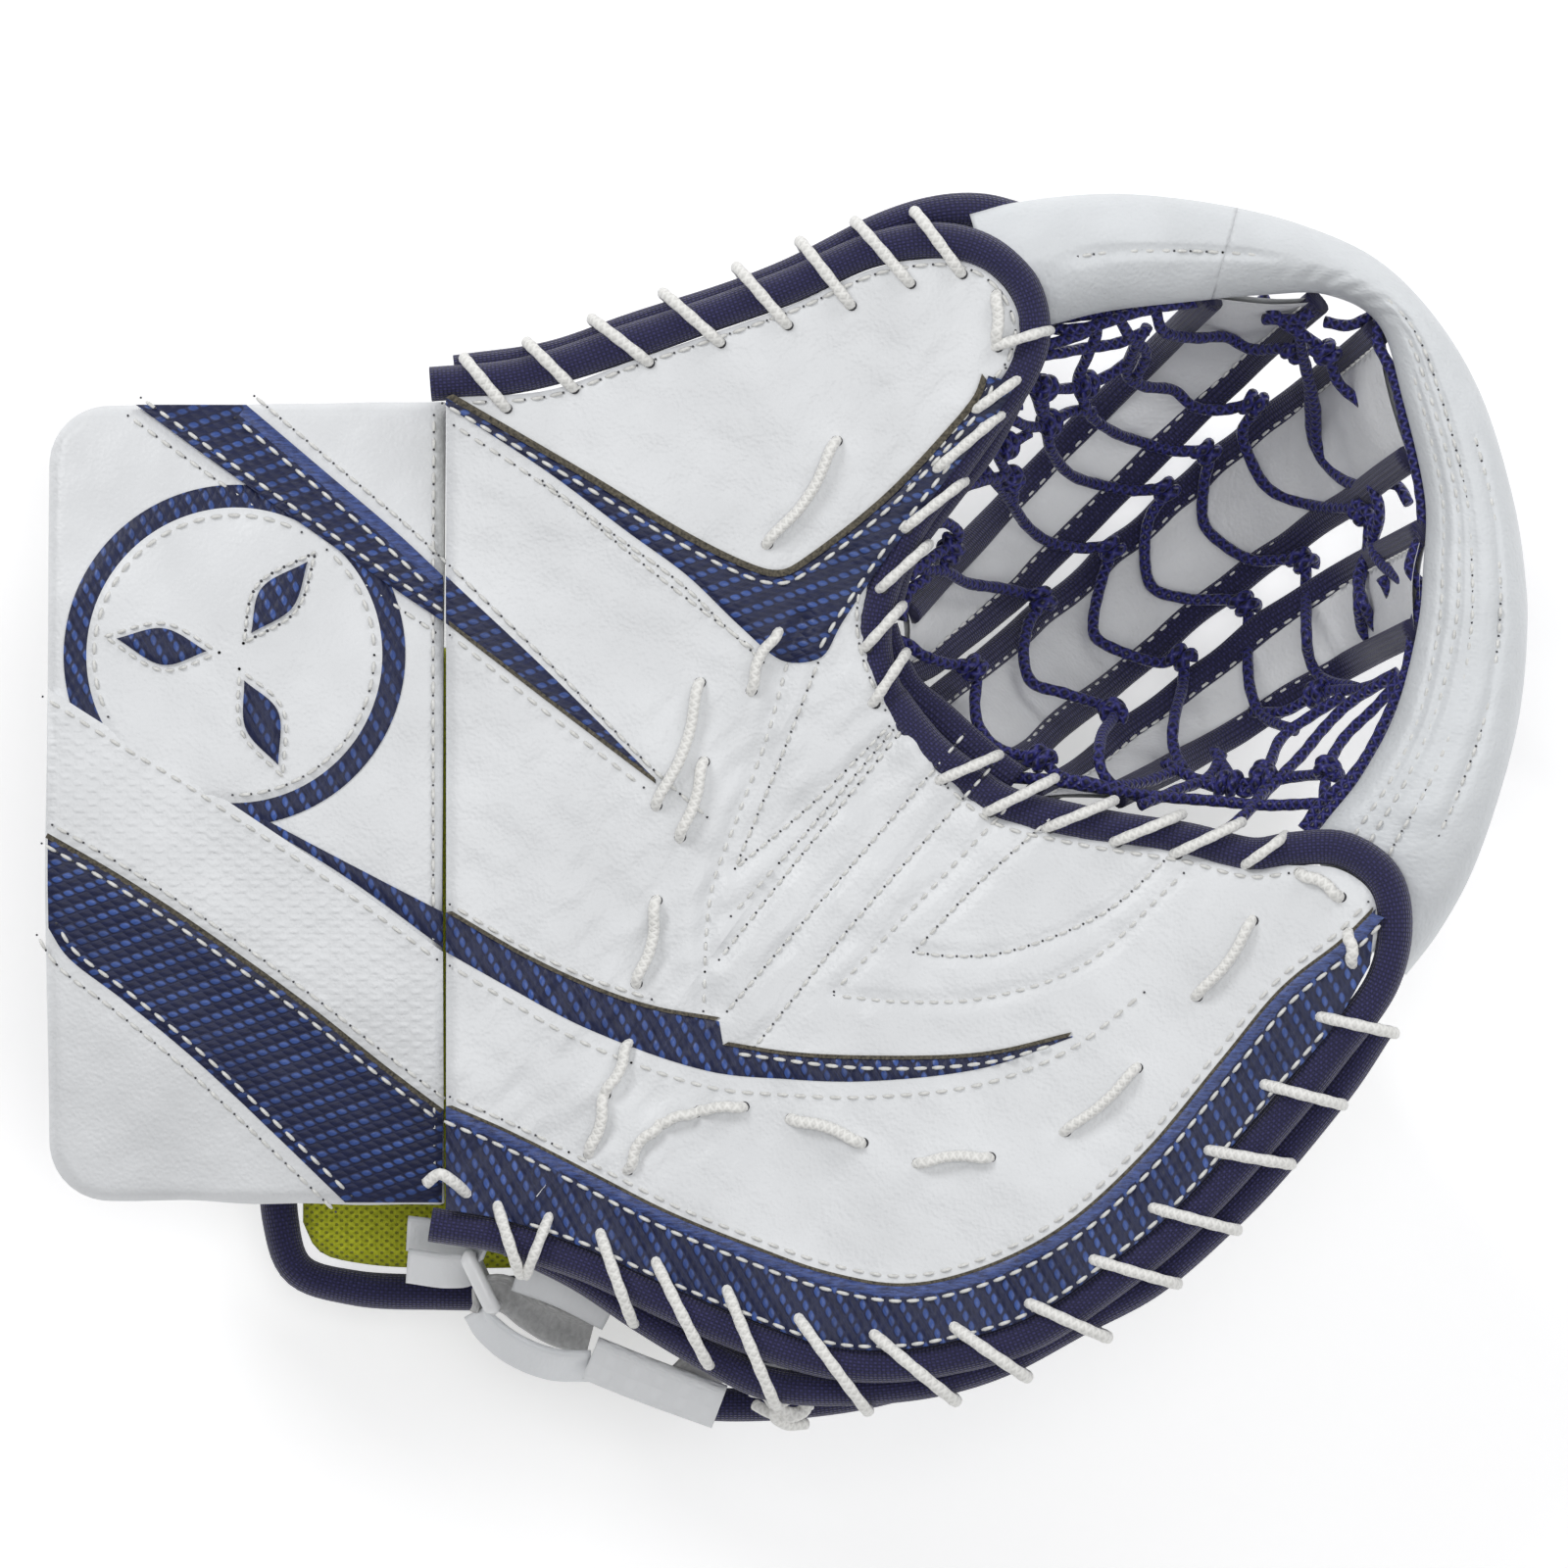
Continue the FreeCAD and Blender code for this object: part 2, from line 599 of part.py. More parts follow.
def cuff_plan(margin):
    """Plan outline of the cuff board with two rounded corners, as a tall block."""
    left = CUFF_LEFT + margin
    right = CUFF_RIGHT - margin
    low = CUFF_MIDDLE - CUFF_HALF + margin
    high = CUFF_MIDDLE + CUFF_HALF - margin
    r = 15.0
    c = r * (1 - math.sqrt(0.5))
    edges = [Part.makeLine(flat(right, low), flat(right, high)),
             Part.makeLine(flat(right, high), flat(left + r, high)),
             Part.Arc(flat(left + r, high), flat(left + c, high - c), flat(left, high - r)).toShape(),
             Part.makeLine(flat(left, high - r), flat(left, low + r)),
             Part.Arc(flat(left, low + r), flat(left + c, low + c), flat(left + r, low)).toShape(),
             Part.makeLine(flat(left + r, low), flat(right, low))]
    return Part.Face(Part.Wire(edges)).extrude(UP * 140)


def cuff_cover():
    return crown_band(-SKIN, 0).common(cuff_plan(0))


def cuff_foam():
    return crown_band(-CUFF_BOARD + INSERT + GAP, -SKIN - HAIRLINE).common(cuff_plan(0.5))


def cuff_plastic_insert():
    return crown_band(-CUFF_BOARD, -CUFF_BOARD + INSERT).common(cuff_plan(6))


def cuff_liner():
    return crown_band(-CUFF_BOARD - GAP - LINER, -CUFF_BOARD - GAP).common(cuff_plan(3))


def cuff_wall(y_low, y_high):
    """A padded side wall of the cuff, rounded at its free lower corner."""
    top = FACE_TOP - CUFF_CROWN - CUFF_BOARD - LINER - 1.2
    left = CUFF_LEFT + 10
    right = CUFF_RIGHT - 4
    r = 18.0
    c = r * (1 - math.sqrt(0.5))
    p = [Vector(left, y_low, top), Vector(right, y_low, top), Vector(right, y_low, CUFF_LOW),
         Vector(left + r, y_low, CUFF_LOW), Vector(left + c, y_low, CUFF_LOW + c), Vector(left, y_low,
                        CUFF_LOW + r)]
    edges = [Part.makeLine(p[0], p[1]), Part.makeLine(p[1], p[2]), Part.makeLine(p[2], p[3]),
             Part.Arc(p[3], p[4], p[5]).toShape(), Part.makeLine(p[5], p[0])]
    return Part.Face(Part.Wire(edges)).extrude(Vector(0, y_high - y_low, 0))


def cuff_pinky_wall():
    return cuff_wall(CUFF_MIDDLE - CUFF_HALF + 0.5, CUFF_MIDDLE - CUFF_HALF + 11)


def cuff_thumb_wall():
    return cuff_wall(CUFF_MIDDLE + CUFF_HALF - 11, CUFF_MIDDLE + CUFF_HALF - 0.5)


EMBLEM = flat(-139.5, 40)
EMBLEM_RADIUS = 43.0
BAND_TOP = [(-190, 31), (-150, 9), (-138, 1), (-80, -38)]
BAND_LOW = [(-190, -3), (-155, -24), (-120, -49), (-80, -79)]
STRIPE_TOP = [(-137, 110), (-98, 70), (-80, 54)]
STRIPE_LOW = [(-172, 110), (-128, 77), (-98, 56), (-80, 42)]


def prism(runs):
    return sheet(runs, 0, 140)


def cuff_stripes():
    """The two woven panels that cross the cuff."""
    layer = crown_band(HAIRLINE, PANEL).common(cuff_plan(1.0))
    upper = layer.common(prism([STRIPE_TOP, [STRIPE_TOP[-1], STRIPE_LOW[-1]], STRIPE_LOW[::-1],
                                [STRIPE_LOW[0], STRIPE_TOP[0]]]))
    corner = [(-190, -35), (-182, -38), (-150, -62), (-108, -105)]
    lower = layer.common(prism([BAND_LOW, [BAND_LOW[-1], (-80, -105)], [(-80, -105), corner[-1]],
                        corner[::-1],
                                [corner[0], BAND_LOW[0]]]))
    return Part.makeCompound(upper.Solids + lower.Solids)


def cuff_emblem():
    """The plain ring sewn on the cuff, cut off by the stripe above it and the band below it."""
    layer = crown_band(HAIRLINE, PANEL).common(cuff_plan(1.0))
    inner = Part.makeCylinder(EMBLEM_RADIUS - 6, 140, EMBLEM)
    ring = Part.makeCylinder(EMBLEM_RADIUS, 140, EMBLEM).cut(inner)
    above = prism([STRIPE_LOW, [STRIPE_LOW[-1], (-80, 120)], [(-80, 120), (-172, 120)], [(-172, 120),
                        STRIPE_LOW[0]]])
    below = prism([BAND_TOP, [BAND_TOP[-1], (-80, -50)], [(-80, -50), (-190, -50)], [(-190, -50),
                        BAND_TOP[0]]])
    return Part.makeCompound(layer.common(ring).cut(above).cut(below).Solids)


# ---- panels sewn on the face ----
def overlay(runs):
    return sheet(runs, FACE_TOP + HAIRLINE, FACE_TOP + PANEL)


V_TOP = [(-83, 104), (-50, 84), (-25, 69), (-12, 62), (0, 60), (7, 65), (25, 78), (40, 94), (49, 105)]
V_LOW = [(-83, 104), (-60, 86), (-40, 71), (-25, 60), (-10, 46), (-2, 39), (7, 39.5), (18, 54), (29, 72),
         (49, 105)]


def thumb_v_panel():
    return overlay([V_TOP, V_LOW[::-1]])


def palm_wedges():
    """The two tapering woven panels on the heel of the palm."""
    first = overlay([[(-84, 58), (-60, 33), (-33, 8)], [(-33, 8), (-60, 27), (-84, 46)], [(-84, 46),
                        (-84, 58)]])
    second = overlay([[(-84, -26), (-66, -37.5), (-42, -48)], [(-42, -48), (-40, -56)],
                      [(-40, -56), (-64, -48), (-84, -36)], [(-84, -36), (-84, -26)]])
    return Part.makeCompound([first, second])


def finger_crescent():
    """The thin curved woven panel across the foot of the fingers."""
    return lifted(overlay([[(-31, -56), (-20, -56.5), (0, -60), (30, -61), (52, -60), (73, -55)],
                           [(73, -55), (50, -63.5), (20, -67), (0, -66.5), (-20, -64.5), (-31, -62)],
                           [(-31, -62), (-31, -56)]]))


def finger_edge_panel():
    """The woven panel that follows the outer edge of the fingers."""
    upper = [(-57, -96), (-30, -100), (-10, -109), (10, -116), (30, -119), (50, -114.5), (70, -104),
             (90, -86),
             (110, -62), (125, -44), (140, -31)]
    lower = [(-57, -104), (-30, -116.5), (-10, -124.5), (10, -131), (25, -132), (40, -130), (60, -124.5),
             (79, -111.5),
             (97, -96.5), (123.5, -67), (140, -40)]
    return lifted(overlay([upper, [upper[-1], lower[-1]], lower[::-1], [lower[0], upper[0]]]))


# ---- back of the hand and straps ----
BACK_RUNS = [[(-126, -107), (-126, 40)], [(-126, 40), (-60, 45), (10, 34)], [(10, 34), (10, -21)],
             [(10, -21), (-14, -45)], [(-14, -45), (-34, -117)],
             [(-34, -117), (-70, -119), (-110, -118), (-122, -114.5), (-126, -107)]]


def back_hand_pad():
    """The big pad behind the hand; its flat outer side is the face the glove rests on."""
    return sheet(BACK_RUNS, 0, BACK_PAD)


def back_hand_liner():
    return shrunk(BACK_RUNS, BACK_CENTRE, 0.98, BACK_PAD + GAP, BACK_PAD + GAP + LINER)


def back_hand_binding():
    """The roll along the wrist edge of the back pad and round its corner."""
    points = [(-131, 40), (-131, 10), (-131, -20), (-131, -50), (-131, -80), (-131, -105), (-126.5, -118.2),
              (-112, -123), (-90, -124.2), (-70, -124.4), (-52, -123.8), (-37, -122.6)]
    return roll(points, BACK_PAD + 1, ROLL)


def hand_stay():
    """Nylon strap inside the glove that holds the back of the hand."""
    across = [flat(-70, -96, BACK_PAD + 3.1), flat(-70, -80, 50), flat(-70, -30, 60), flat(-70, 20, 50),
              flat(-70, 36, BACK_PAD + 3.1)]
    spline = Part.BSplineCurve()
    spline.interpolate(across)
    upper = Part.BSplineCurve()
    upper.interpolate([p + UP * 2.2 for p in across])
    wire = Part.Wire([spline.toShape(), Part.makeLine(across[-1], across[-1] + UP * 2.2), upper.toShape(),
                      Part.makeLine(across[0] + UP * 2.2, across[0])])
    return Part.Face(Part.Wire(Part.__sortEdges__(wire.Edges))).extrude(Vector(38, 0, 0))


def upright_band(line, thick, low, high):
    """A band standing on edge along a smooth plan line."""
    back = beside(line, thick)
    runs = [line, [line[-1], back[-1]], back[::-1], [back[0], line[0]]]
    return sheet(runs, low, high)


RING_A = flat(-81, -113.5, 64)
RING_B = flat(-75, -126, 64)


def ring_frame(outer_high, bar):
    """A rectangular plastic loop standing on edge between its two upright bars."""
    along = (RING_B - RING_A).normalize()
    side = along.cross(UP)
    length = (RING_B - RING_A).Length + bar
    corner = RING_A - along * (bar / 2) - side * (bar / 2) - UP * (outer_high / 2)
    solids = []
    for extra, thick in ((0.0, bar), (bar, bar + 2)):
        low = corner + along * extra + UP * extra - side * (0 if extra == 0 else 1)
        a = low + along * (length - 2 * extra)
        b = a + UP * (outer_high - 2 * extra)
        c = low + UP * (outer_high - 2 * extra)
        solids.append(Part.Face(Part.makePolygon([low, a, b, c, low])).extrude(side * thick))
    frame = solids[0].cut(solids[1])
    return frame.makeFillet(1.1, frame.Edges)


def strap_ring():
    return ring_frame(33, 3.8)


def ring_tab():
    """Folded leather tab that holds the plastic loop."""
    line = [(-96, -108), (-88, -109), (-82, -110.2), (-78.2, -112.5), (-79.4, -116.4), (-84, -117),
            (-96, -114)]
    return upright_band(line, 1.8, 52.5, 75.5)


def wrist_strap():
    """Leather strap faced with suede, folded round the far bar of the loop; both layers run to the back."""
    line = [(-51, -142), (-60, -141), (-70, -136.5), (-77, -130.8), (-79, -126.5), (-77.2, -122.6),
            (-72.5, -122.4),
            (-66, -127.5), (-59, -132), (-51, -134.5)]
    return upright_band(line, 2.0, 52.5, 75.5)


def side_tab():
    """Second folded tab below the edge of the palm."""
    line = [(-66, -117.5), (-56, -121.5), (-45, -127)]
    return upright_band(line, 3.4, 58, 80)


def strap_tail():
    """The free cut end of the back strap, lying on the finger back pad's roll."""
    return upright_band([(-47, -142.5), (-34, -147.5), (-20, -152.5)], 2.4, 62, 84)


def fold_block(low, high):
    """Everything between two upright planes parallel to the fold."""
    a = CROTCH + FOLD_DIR * -400 + FOLD_NORMAL * low - UP * 200
    b = a + FOLD_DIR * 800
    c = b + FOLD_NORMAL * (high - low)
    d = a + FOLD_NORMAL * (high - low)
    return Part.Face(Part.makePolygon([a, b, c, d, a])).extrude(UP * 400)


def save(name, shape):
    """Writes one node of the assembly."""
    shape.exportStep("parts/" + name + ".step")


def build():
    os.makedirs("parts", exist_ok=True)
    makers = [
        thumb_face_leather, thumb_face_foam, thumb_plastic_insert, palm_liner, thumb_binding,
        thumb_back_binding, thumb_back_pad, thumb_side_web, thumb_lace, heel_lace, thumb_v_panel,
        palm_wedges, finger_face_leather, finger_face_foam, finger_plastic_insert, finger_liner,
        finger_binding, finger_back_binding, finger_back_pad, finger_back_liner, finger_back_roll,
        finger_side_gusset, finger_dividers, finger_lace, pocket_edge_lace, finger_face_lace, lace_knot,
        finger_crescent, finger_edge_panel, pocket_lace, side_nets, pocket_strap_bindings,
        crotch_binding, cuff_cover, cuff_foam, cuff_plastic_insert, cuff_liner, cuff_pinky_wall,
        cuff_thumb_wall, cuff_stripes, cuff_emblem, back_hand_pad, back_hand_liner, back_hand_binding,
        hand_stay, strap_ring, ring_tab, wrist_strap, side_tab, strap_tail]
    for maker in makers:
        save(maker.__name__, maker())
    for k in range(3):
        save("pocket_strap_" + str(k + 1), strap_leather(k))
    # the rim is one long roll cut into three lengths where the glove folds
    skin = rim(0, len(RIM_LINE))
    core = rim_core(0, len(RIM_LINE))
    for name, low, high in (("thumb", 0.5, 400.0), ("apex", -RIM_BREAK, -0.5), ("finger", -400.0,
                        -RIM_BREAK - 5.0)):
        block = fold_block(low, high)
        save("rim_" + name, skin.common(block))
        save("rim_core_" + name, core.common(block))


build()
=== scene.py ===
import math
import bpy
import numpy as np
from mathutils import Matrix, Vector, geometry


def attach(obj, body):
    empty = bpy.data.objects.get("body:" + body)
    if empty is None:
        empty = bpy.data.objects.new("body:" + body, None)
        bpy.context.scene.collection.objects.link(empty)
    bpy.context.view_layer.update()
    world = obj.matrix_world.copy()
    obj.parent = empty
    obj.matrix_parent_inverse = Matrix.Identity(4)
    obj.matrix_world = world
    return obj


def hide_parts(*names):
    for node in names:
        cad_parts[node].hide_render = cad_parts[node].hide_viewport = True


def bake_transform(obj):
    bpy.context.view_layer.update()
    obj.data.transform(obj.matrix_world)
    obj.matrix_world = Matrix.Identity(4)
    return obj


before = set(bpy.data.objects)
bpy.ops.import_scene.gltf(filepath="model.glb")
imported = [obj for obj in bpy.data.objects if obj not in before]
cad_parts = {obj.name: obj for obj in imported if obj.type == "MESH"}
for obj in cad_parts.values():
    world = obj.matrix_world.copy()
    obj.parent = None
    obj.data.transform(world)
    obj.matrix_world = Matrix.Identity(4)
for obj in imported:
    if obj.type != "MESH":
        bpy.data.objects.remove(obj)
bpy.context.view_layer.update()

MM = 0.001
FACE = 105.0                 # height of the palm leather, in millimetres
CROTCH = np.array([27.0, 27.0])  # foot of the pocket, where the glove folds
FOLD = math.radians(54.0)    # direction of the break line
DIR = np.array([math.cos(FOLD), math.sin(FOLD)])
NOR = np.array([-DIR[1], DIR[0]])
LIFT = math.tan(math.radians(8.0))   # slope of the finger half


# ---------- lines ----------
def smooth(points, step=1.5, closed=False):
    """A dense line through points, rounded at each, with even spacing."""
    p = np.array(points, float)
    if closed:
        p = np.vstack([p[-1], p, p[0], p[1]])
    else:
        p = np.vstack([2 * p[0] - p[1], p, 2 * p[-1] - p[-2]])
    out = []
    for i in range(1, len(p) - 2):
        a, b, c, d = p[i - 1], p[i], p[i + 1], p[i + 2]
        la = max(np.linalg.norm(b - a), 1e-6) ** 0.5
        lb = max(np.linalg.norm(c - b), 1e-6) ** 0.5
        lc = max(np.linalg.norm(d - c), 1e-6) ** 0.5
        t0, t1, t2, t3 = 0, la, la + lb, la + lb + lc
        n = max(int(np.linalg.norm(c - b) / step * 1.5), 3)
        t = np.linspace(t1, t2, n, endpoint=False)[:, None]
        a1 = (t1 - t) / (t1 - t0) * a + (t - t0) / (t1 - t0) * b
        a2 = (t2 - t) / (t2 - t1) * b + (t - t1) / (t2 - t1) * c
        a3 = (t3 - t) / (t3 - t2) * c + (t - t2) / (t3 - t2) * d
        b1 = (t2 - t) / (t2 - t0) * a1 + (t - t0) / (t2 - t0) * a2
        b2 = (t3 - t) / (t3 - t1) * a2 + (t - t1) / (t3 - t1) * a3
        out.append((t2 - t) / (t2 - t1) * b1 + (t - t1) / (t2 - t1) * b2)
    out = np.vstack(out + [p[-2:-1]])
    return spaced(out, step)


def spaced(line, step):
    """The same line with points a fixed distance apart."""
    seg = np.linalg.norm(np.diff(line, axis=0), axis=1)
    s = np.concatenate([[0], np.cumsum(seg)])
    n = max(int(round(s[-1] / step)), 2)
    t = np.linspace(0, s[-1], n + 1)
    return np.stack([np.interp(t, s, line[:, k]) for k in range(line.shape[1])], 1)


def ring(*runs, step=2.0):
    """A closed outline of smooth runs that share their ends."""
    parts = []
    for run in runs:
        line = smooth(run, step) if len(run) > 2 else spaced(np.array(run, float), step)
        parts.append(line[:-1])
    return np.vstack(parts)


def near(points, line, closed=False):
    """Distance of each point to a line."""
    lo, hi = line.min(0)[:2] - 9, line.max(0)[:2] + 9
    if not closed and len(points) > 60:
        inside_box = ((points[:, :2] > lo) & (points[:, :2] < hi)).all(1)
        if not inside_box.all():
            out = np.full(len(points), 9.0)
            if inside_box.any():
                out[inside_box] = near(points[inside_box], line)
            return out
    a = line
    b = np.roll(line, -1, axis=0) if closed else line[1:]
    a = a if closed else line[:-1]
    out = np.full(len(points), 1e9)
    ab = b - a
    ll = (ab ** 2).sum(1) + 1e-12
    for i in range(0, len(points), 4000):
        p = points[i:i + 4000, None, :2]
        t = np.clip(((p - a[None]) * ab[None]).sum(2) / ll[None], 0, 1)
        d = np.linalg.norm(p - (a[None] + ab[None] * t[..., None]), axis=2)
        out[i:i + 4000] = d.min(1)
    return out


def beside(line, distance):
    """A line moved to the left of its direction of travel."""
    t = np.gradient(line[:, :2], axis=0)
    t /= np.linalg.norm(t, axis=1)[:, None] + 1e-9
    out = line.copy()
    out[:, 0] -= t[:, 1] * distance
    out[:, 1] += t[:, 0] * distance
    return out


def noise(x, y, size, seed=0):
    """Soft unevenness between -1 and 1."""
    out = np.zeros_like(x)
    r = np.random.default_rng(seed)
    for _ in range(7):
        a = r.uniform(0, 2 * math.pi)
        w = 2 * math.pi / (size * r.uniform(0.6, 1.8))
        out += np.sin((x * math.cos(a) + y * math.sin(a)) * w + r.uniform(0, 6.28))
    return out / 4.0


# ---------- heights ----------
def side_of(p):
    return (p[:, :2] - CROTCH) @ NOR


def palm_z(p):
    """Height of the leather over the palm, thumb and fingers."""
    s = side_of(p)
    lift = LIFT * 4.0 * np.logaddexp(0, -s / 4.0)
    return FACE + lift


def cuff_z(p):
    y = (p[:, 1] - 2.5) / 101.5
    return 104.5 - 15.0 * np.clip(y ** 2, 0, 1.4)


# ---------- meshes ----------
def obj_from(name, verts, faces, uv=None, mat=None, smooth_shade=True):
    me = bpy.data.meshes.new(name)
    me.from_pydata([tuple(v * MM) for v in np.asarray(verts, float)], [],
        [tuple(int(i) for i in f) for f in faces])
    if uv is not None:
        layer = me.uv_layers.new(name="UVMap")
        idx = np.zeros(len(me.loops), np.int32)
        me.loops.foreach_get("vertex_index", idx)
        layer.data.foreach_set("uv", (np.asarray(uv, np.float32)[idx] / 100.0).ravel())
    me.polygons.foreach_set("use_smooth", [smooth_shade] * len(me.polygons))
    o = bpy.data.objects.new(name, me)
    bpy.context.scene.collection.objects.link(o)
    if mat:
        for m in mat if isinstance(mat, list) else [mat]:
            me.materials.append(m)
    me.validate()
    me.update()
    return o


def fill(outline, h):
    """Points and triangles that fill a closed outline."""
    lo, hi = outline.min(0), outline.max(0)
    rows = []
    for j, y in enumerate(np.arange(lo[1] + h / 2, hi[1], h * 0.866)):
        xs = np.arange(lo[0] + (h / 2 if j % 2 else 0), hi[0], h)
        rows.append(np.stack([xs, np.full_like(xs, y)], 1))
    g = np.vstack(rows)
    x, y = g[:, 0], g[:, 1]
    inside = np.zeros(len(g), bool)
    a, b = outline, np.roll(outline, -1, axis=0)
    for (x1, y1), (x2, y2) in zip(a, b):
        cond = ((y1 > y) != (y2 > y)) & (x < (x2 - x1) * (y - y1) / (y2 - y1 + 1e-12) + x1)
        inside ^= cond
    g = g[inside]
    g = g[near(g, outline, True) > h * 0.55]
    pts = np.vstack([outline, g])
    n = len(outline)
    res = geometry.delaunay_2d_cdt([Vector(p) for p in pts], [(i, (i + 1) % n) for i in range(n)],
        [list(range(n))], 1, 1e-4)
    v = np.array([[q.x, q.y] for q in res[0]])
    return v, [list(f) for f in res[2]]


def rounded(d, r):
    """Drop of a rounded edge at a distance from the outline."""
    t = np.clip(r - d, 0, r)
    return r - np.sqrt(np.maximum(r * r - t * t, 0))


def panel(name, outline, z, thick, mat, h=2.0, edge=1.5, rim=None, grooves=(), groove=(0.8, 1.6)):
    """A sheet of leather laid on a surface: a filled top with a rounded edge and a side wall."""
    v, faces = fill(outline, h)
    if len(v) < 4 or not faces:
        return None
    d = near(v, outline if rim is None else rim, True)
    top = z(v) - rounded(d, edge)
    for g in grooves:
        top -= groove[0] * np.exp(-(near(v, g) / groove[1]) ** 2)
    order = ring_order(faces)
    m = len(order)
    verts = np.column_stack([v, top])
    uv = v.copy()
    walls, rings = [], []
    base = len(verts)
    for k, drop in enumerate((0.0, thick * 0.5, thick)):
        loop = verts[order].copy()
        loop[:, 2] -= drop
        rings.append(loop)
        uv = np.vstack([uv, loop[:, :2] + [0, drop]])
        if k:
            a, b = base + (k - 1) * m, base + k * m
            for i in range(m):
                j = (i + 1) % m
                walls.append([a + j, a + i, b + i, b + j])
    return obj_from(name, np.vstack([verts] + rings), [f for f in faces] + walls, uv, mat)


def ring_order(faces):
    """The outline's vertices in order, walked from the edges used once."""
    count = {}
    for f in faces:
        for i in range(len(f)):
            a, b = f[i], f[(i + 1) % len(f)]
            count[(a, b)] = count.get((a, b), 0) + 1
    nxt = {}
    for (a, b) in count:
        if (b, a) not in count:
            nxt[a] = b
    start = next(iter(nxt))
    order = [start]
    while len(order) < len(nxt):
        k = nxt.get(order[-1])
        if k is None or k == start:
            break
        order.append(k)
    return order


def slab(name, outline, z0, z1, mat, h=4.0, edge=6.0, grooves=(), depth=1.6, wave=0.6, seed=3, crown=0.0,
    low_flat=False):
    """A padded block: rounded top and bottom over the same outline."""
    v, faces = fill(outline, h)
    d = near(v, outline, True)
    n = len(v)
    zt = z1(v) if callable(z1) else np.full(n, float(z1))
    zb = z0(v) if callable(z0) else np.full(n, float(z0))
    r = np.minimum(edge, (zt - zb) / 2 - 0.2)
    t = np.clip(r - d, 0, r)
    cut = r - np.sqrt(np.maximum(r * r - t * t, 0))
    soft = np.clip(d / 14, 0, 1)
    top = zt - cut + wave * noise(v[:, 0], v[:, 1], 34, seed) * soft + crown * (np.clip(d / 30, 0, 1) - 1)
    low = zb + cut
    if not low_flat:
        low = low - wave * noise(v[:, 0], v[:, 1], 38, seed + 9) * soft
    for g in grooves:
        dent = np.exp(-(near(v, g) / 2.2) ** 2)
        top -= depth * dent
        low += 0 if low_flat == "all" else depth * dent
    order = ring_order(faces)
    verts = np.vstack([np.column_stack([v, top]), np.column_stack([v, low])])
    m = len(order)
    faces2 = faces + [[i + n for i in f][::-1] for f in faces]
    uv = np.vstack([v, v + [0, 400]])
    rows = [list(order)]
    base = 2 * n
    extra = []
    for k in (0.33, 0.66):
        ringv = verts[order] * (1 - k) + verts[[i + n for i in order]] * k
        extra.append(ringv)
        rows.append(list(range(base, base + m)))
        base += m
        uv = np.vstack([uv, ringv[:, :2] + [0, 30 * k]])
    rows.append([i + n for i in order])
    for a, b in zip(rows[:-1], rows[1:]):
        for i in range(m):
            j = (i + 1) % m
            faces2.append([a[j], a[i], b[i], b[j]])
    return obj_from(name, np.vstack([verts] + extra), faces2, uv, mat)


def frames(line, up=None):
    """Tangent, side and up at each point of a line."""
    t = np.gradient(line, axis=0)
    t /= np.linalg.norm(t, axis=1)[:, None] + 1e-9
    if up is not None:
        u = np.tile(np.array(up, float), (len(line), 1)) if np.ndim(up) == 1 else np.array(up, float)
        s = np.cross(t, u)
        s /= np.linalg.norm(s, axis=1)[:, None] + 1e-9
        return t, s, np.cross(s, t)
    u = np.cross(t[0], [0.3, 0.2, 0.9])
    u /= np.linalg.norm(u)
    us = [u]
    for i in range(1, len(line)):
        u = us[-1] - t[i] * (us[-1] @ t[i])
        us.append(u / (np.linalg.norm(u) + 1e-9))
    u = np.array(us)
    return t, np.cross(t, u), u


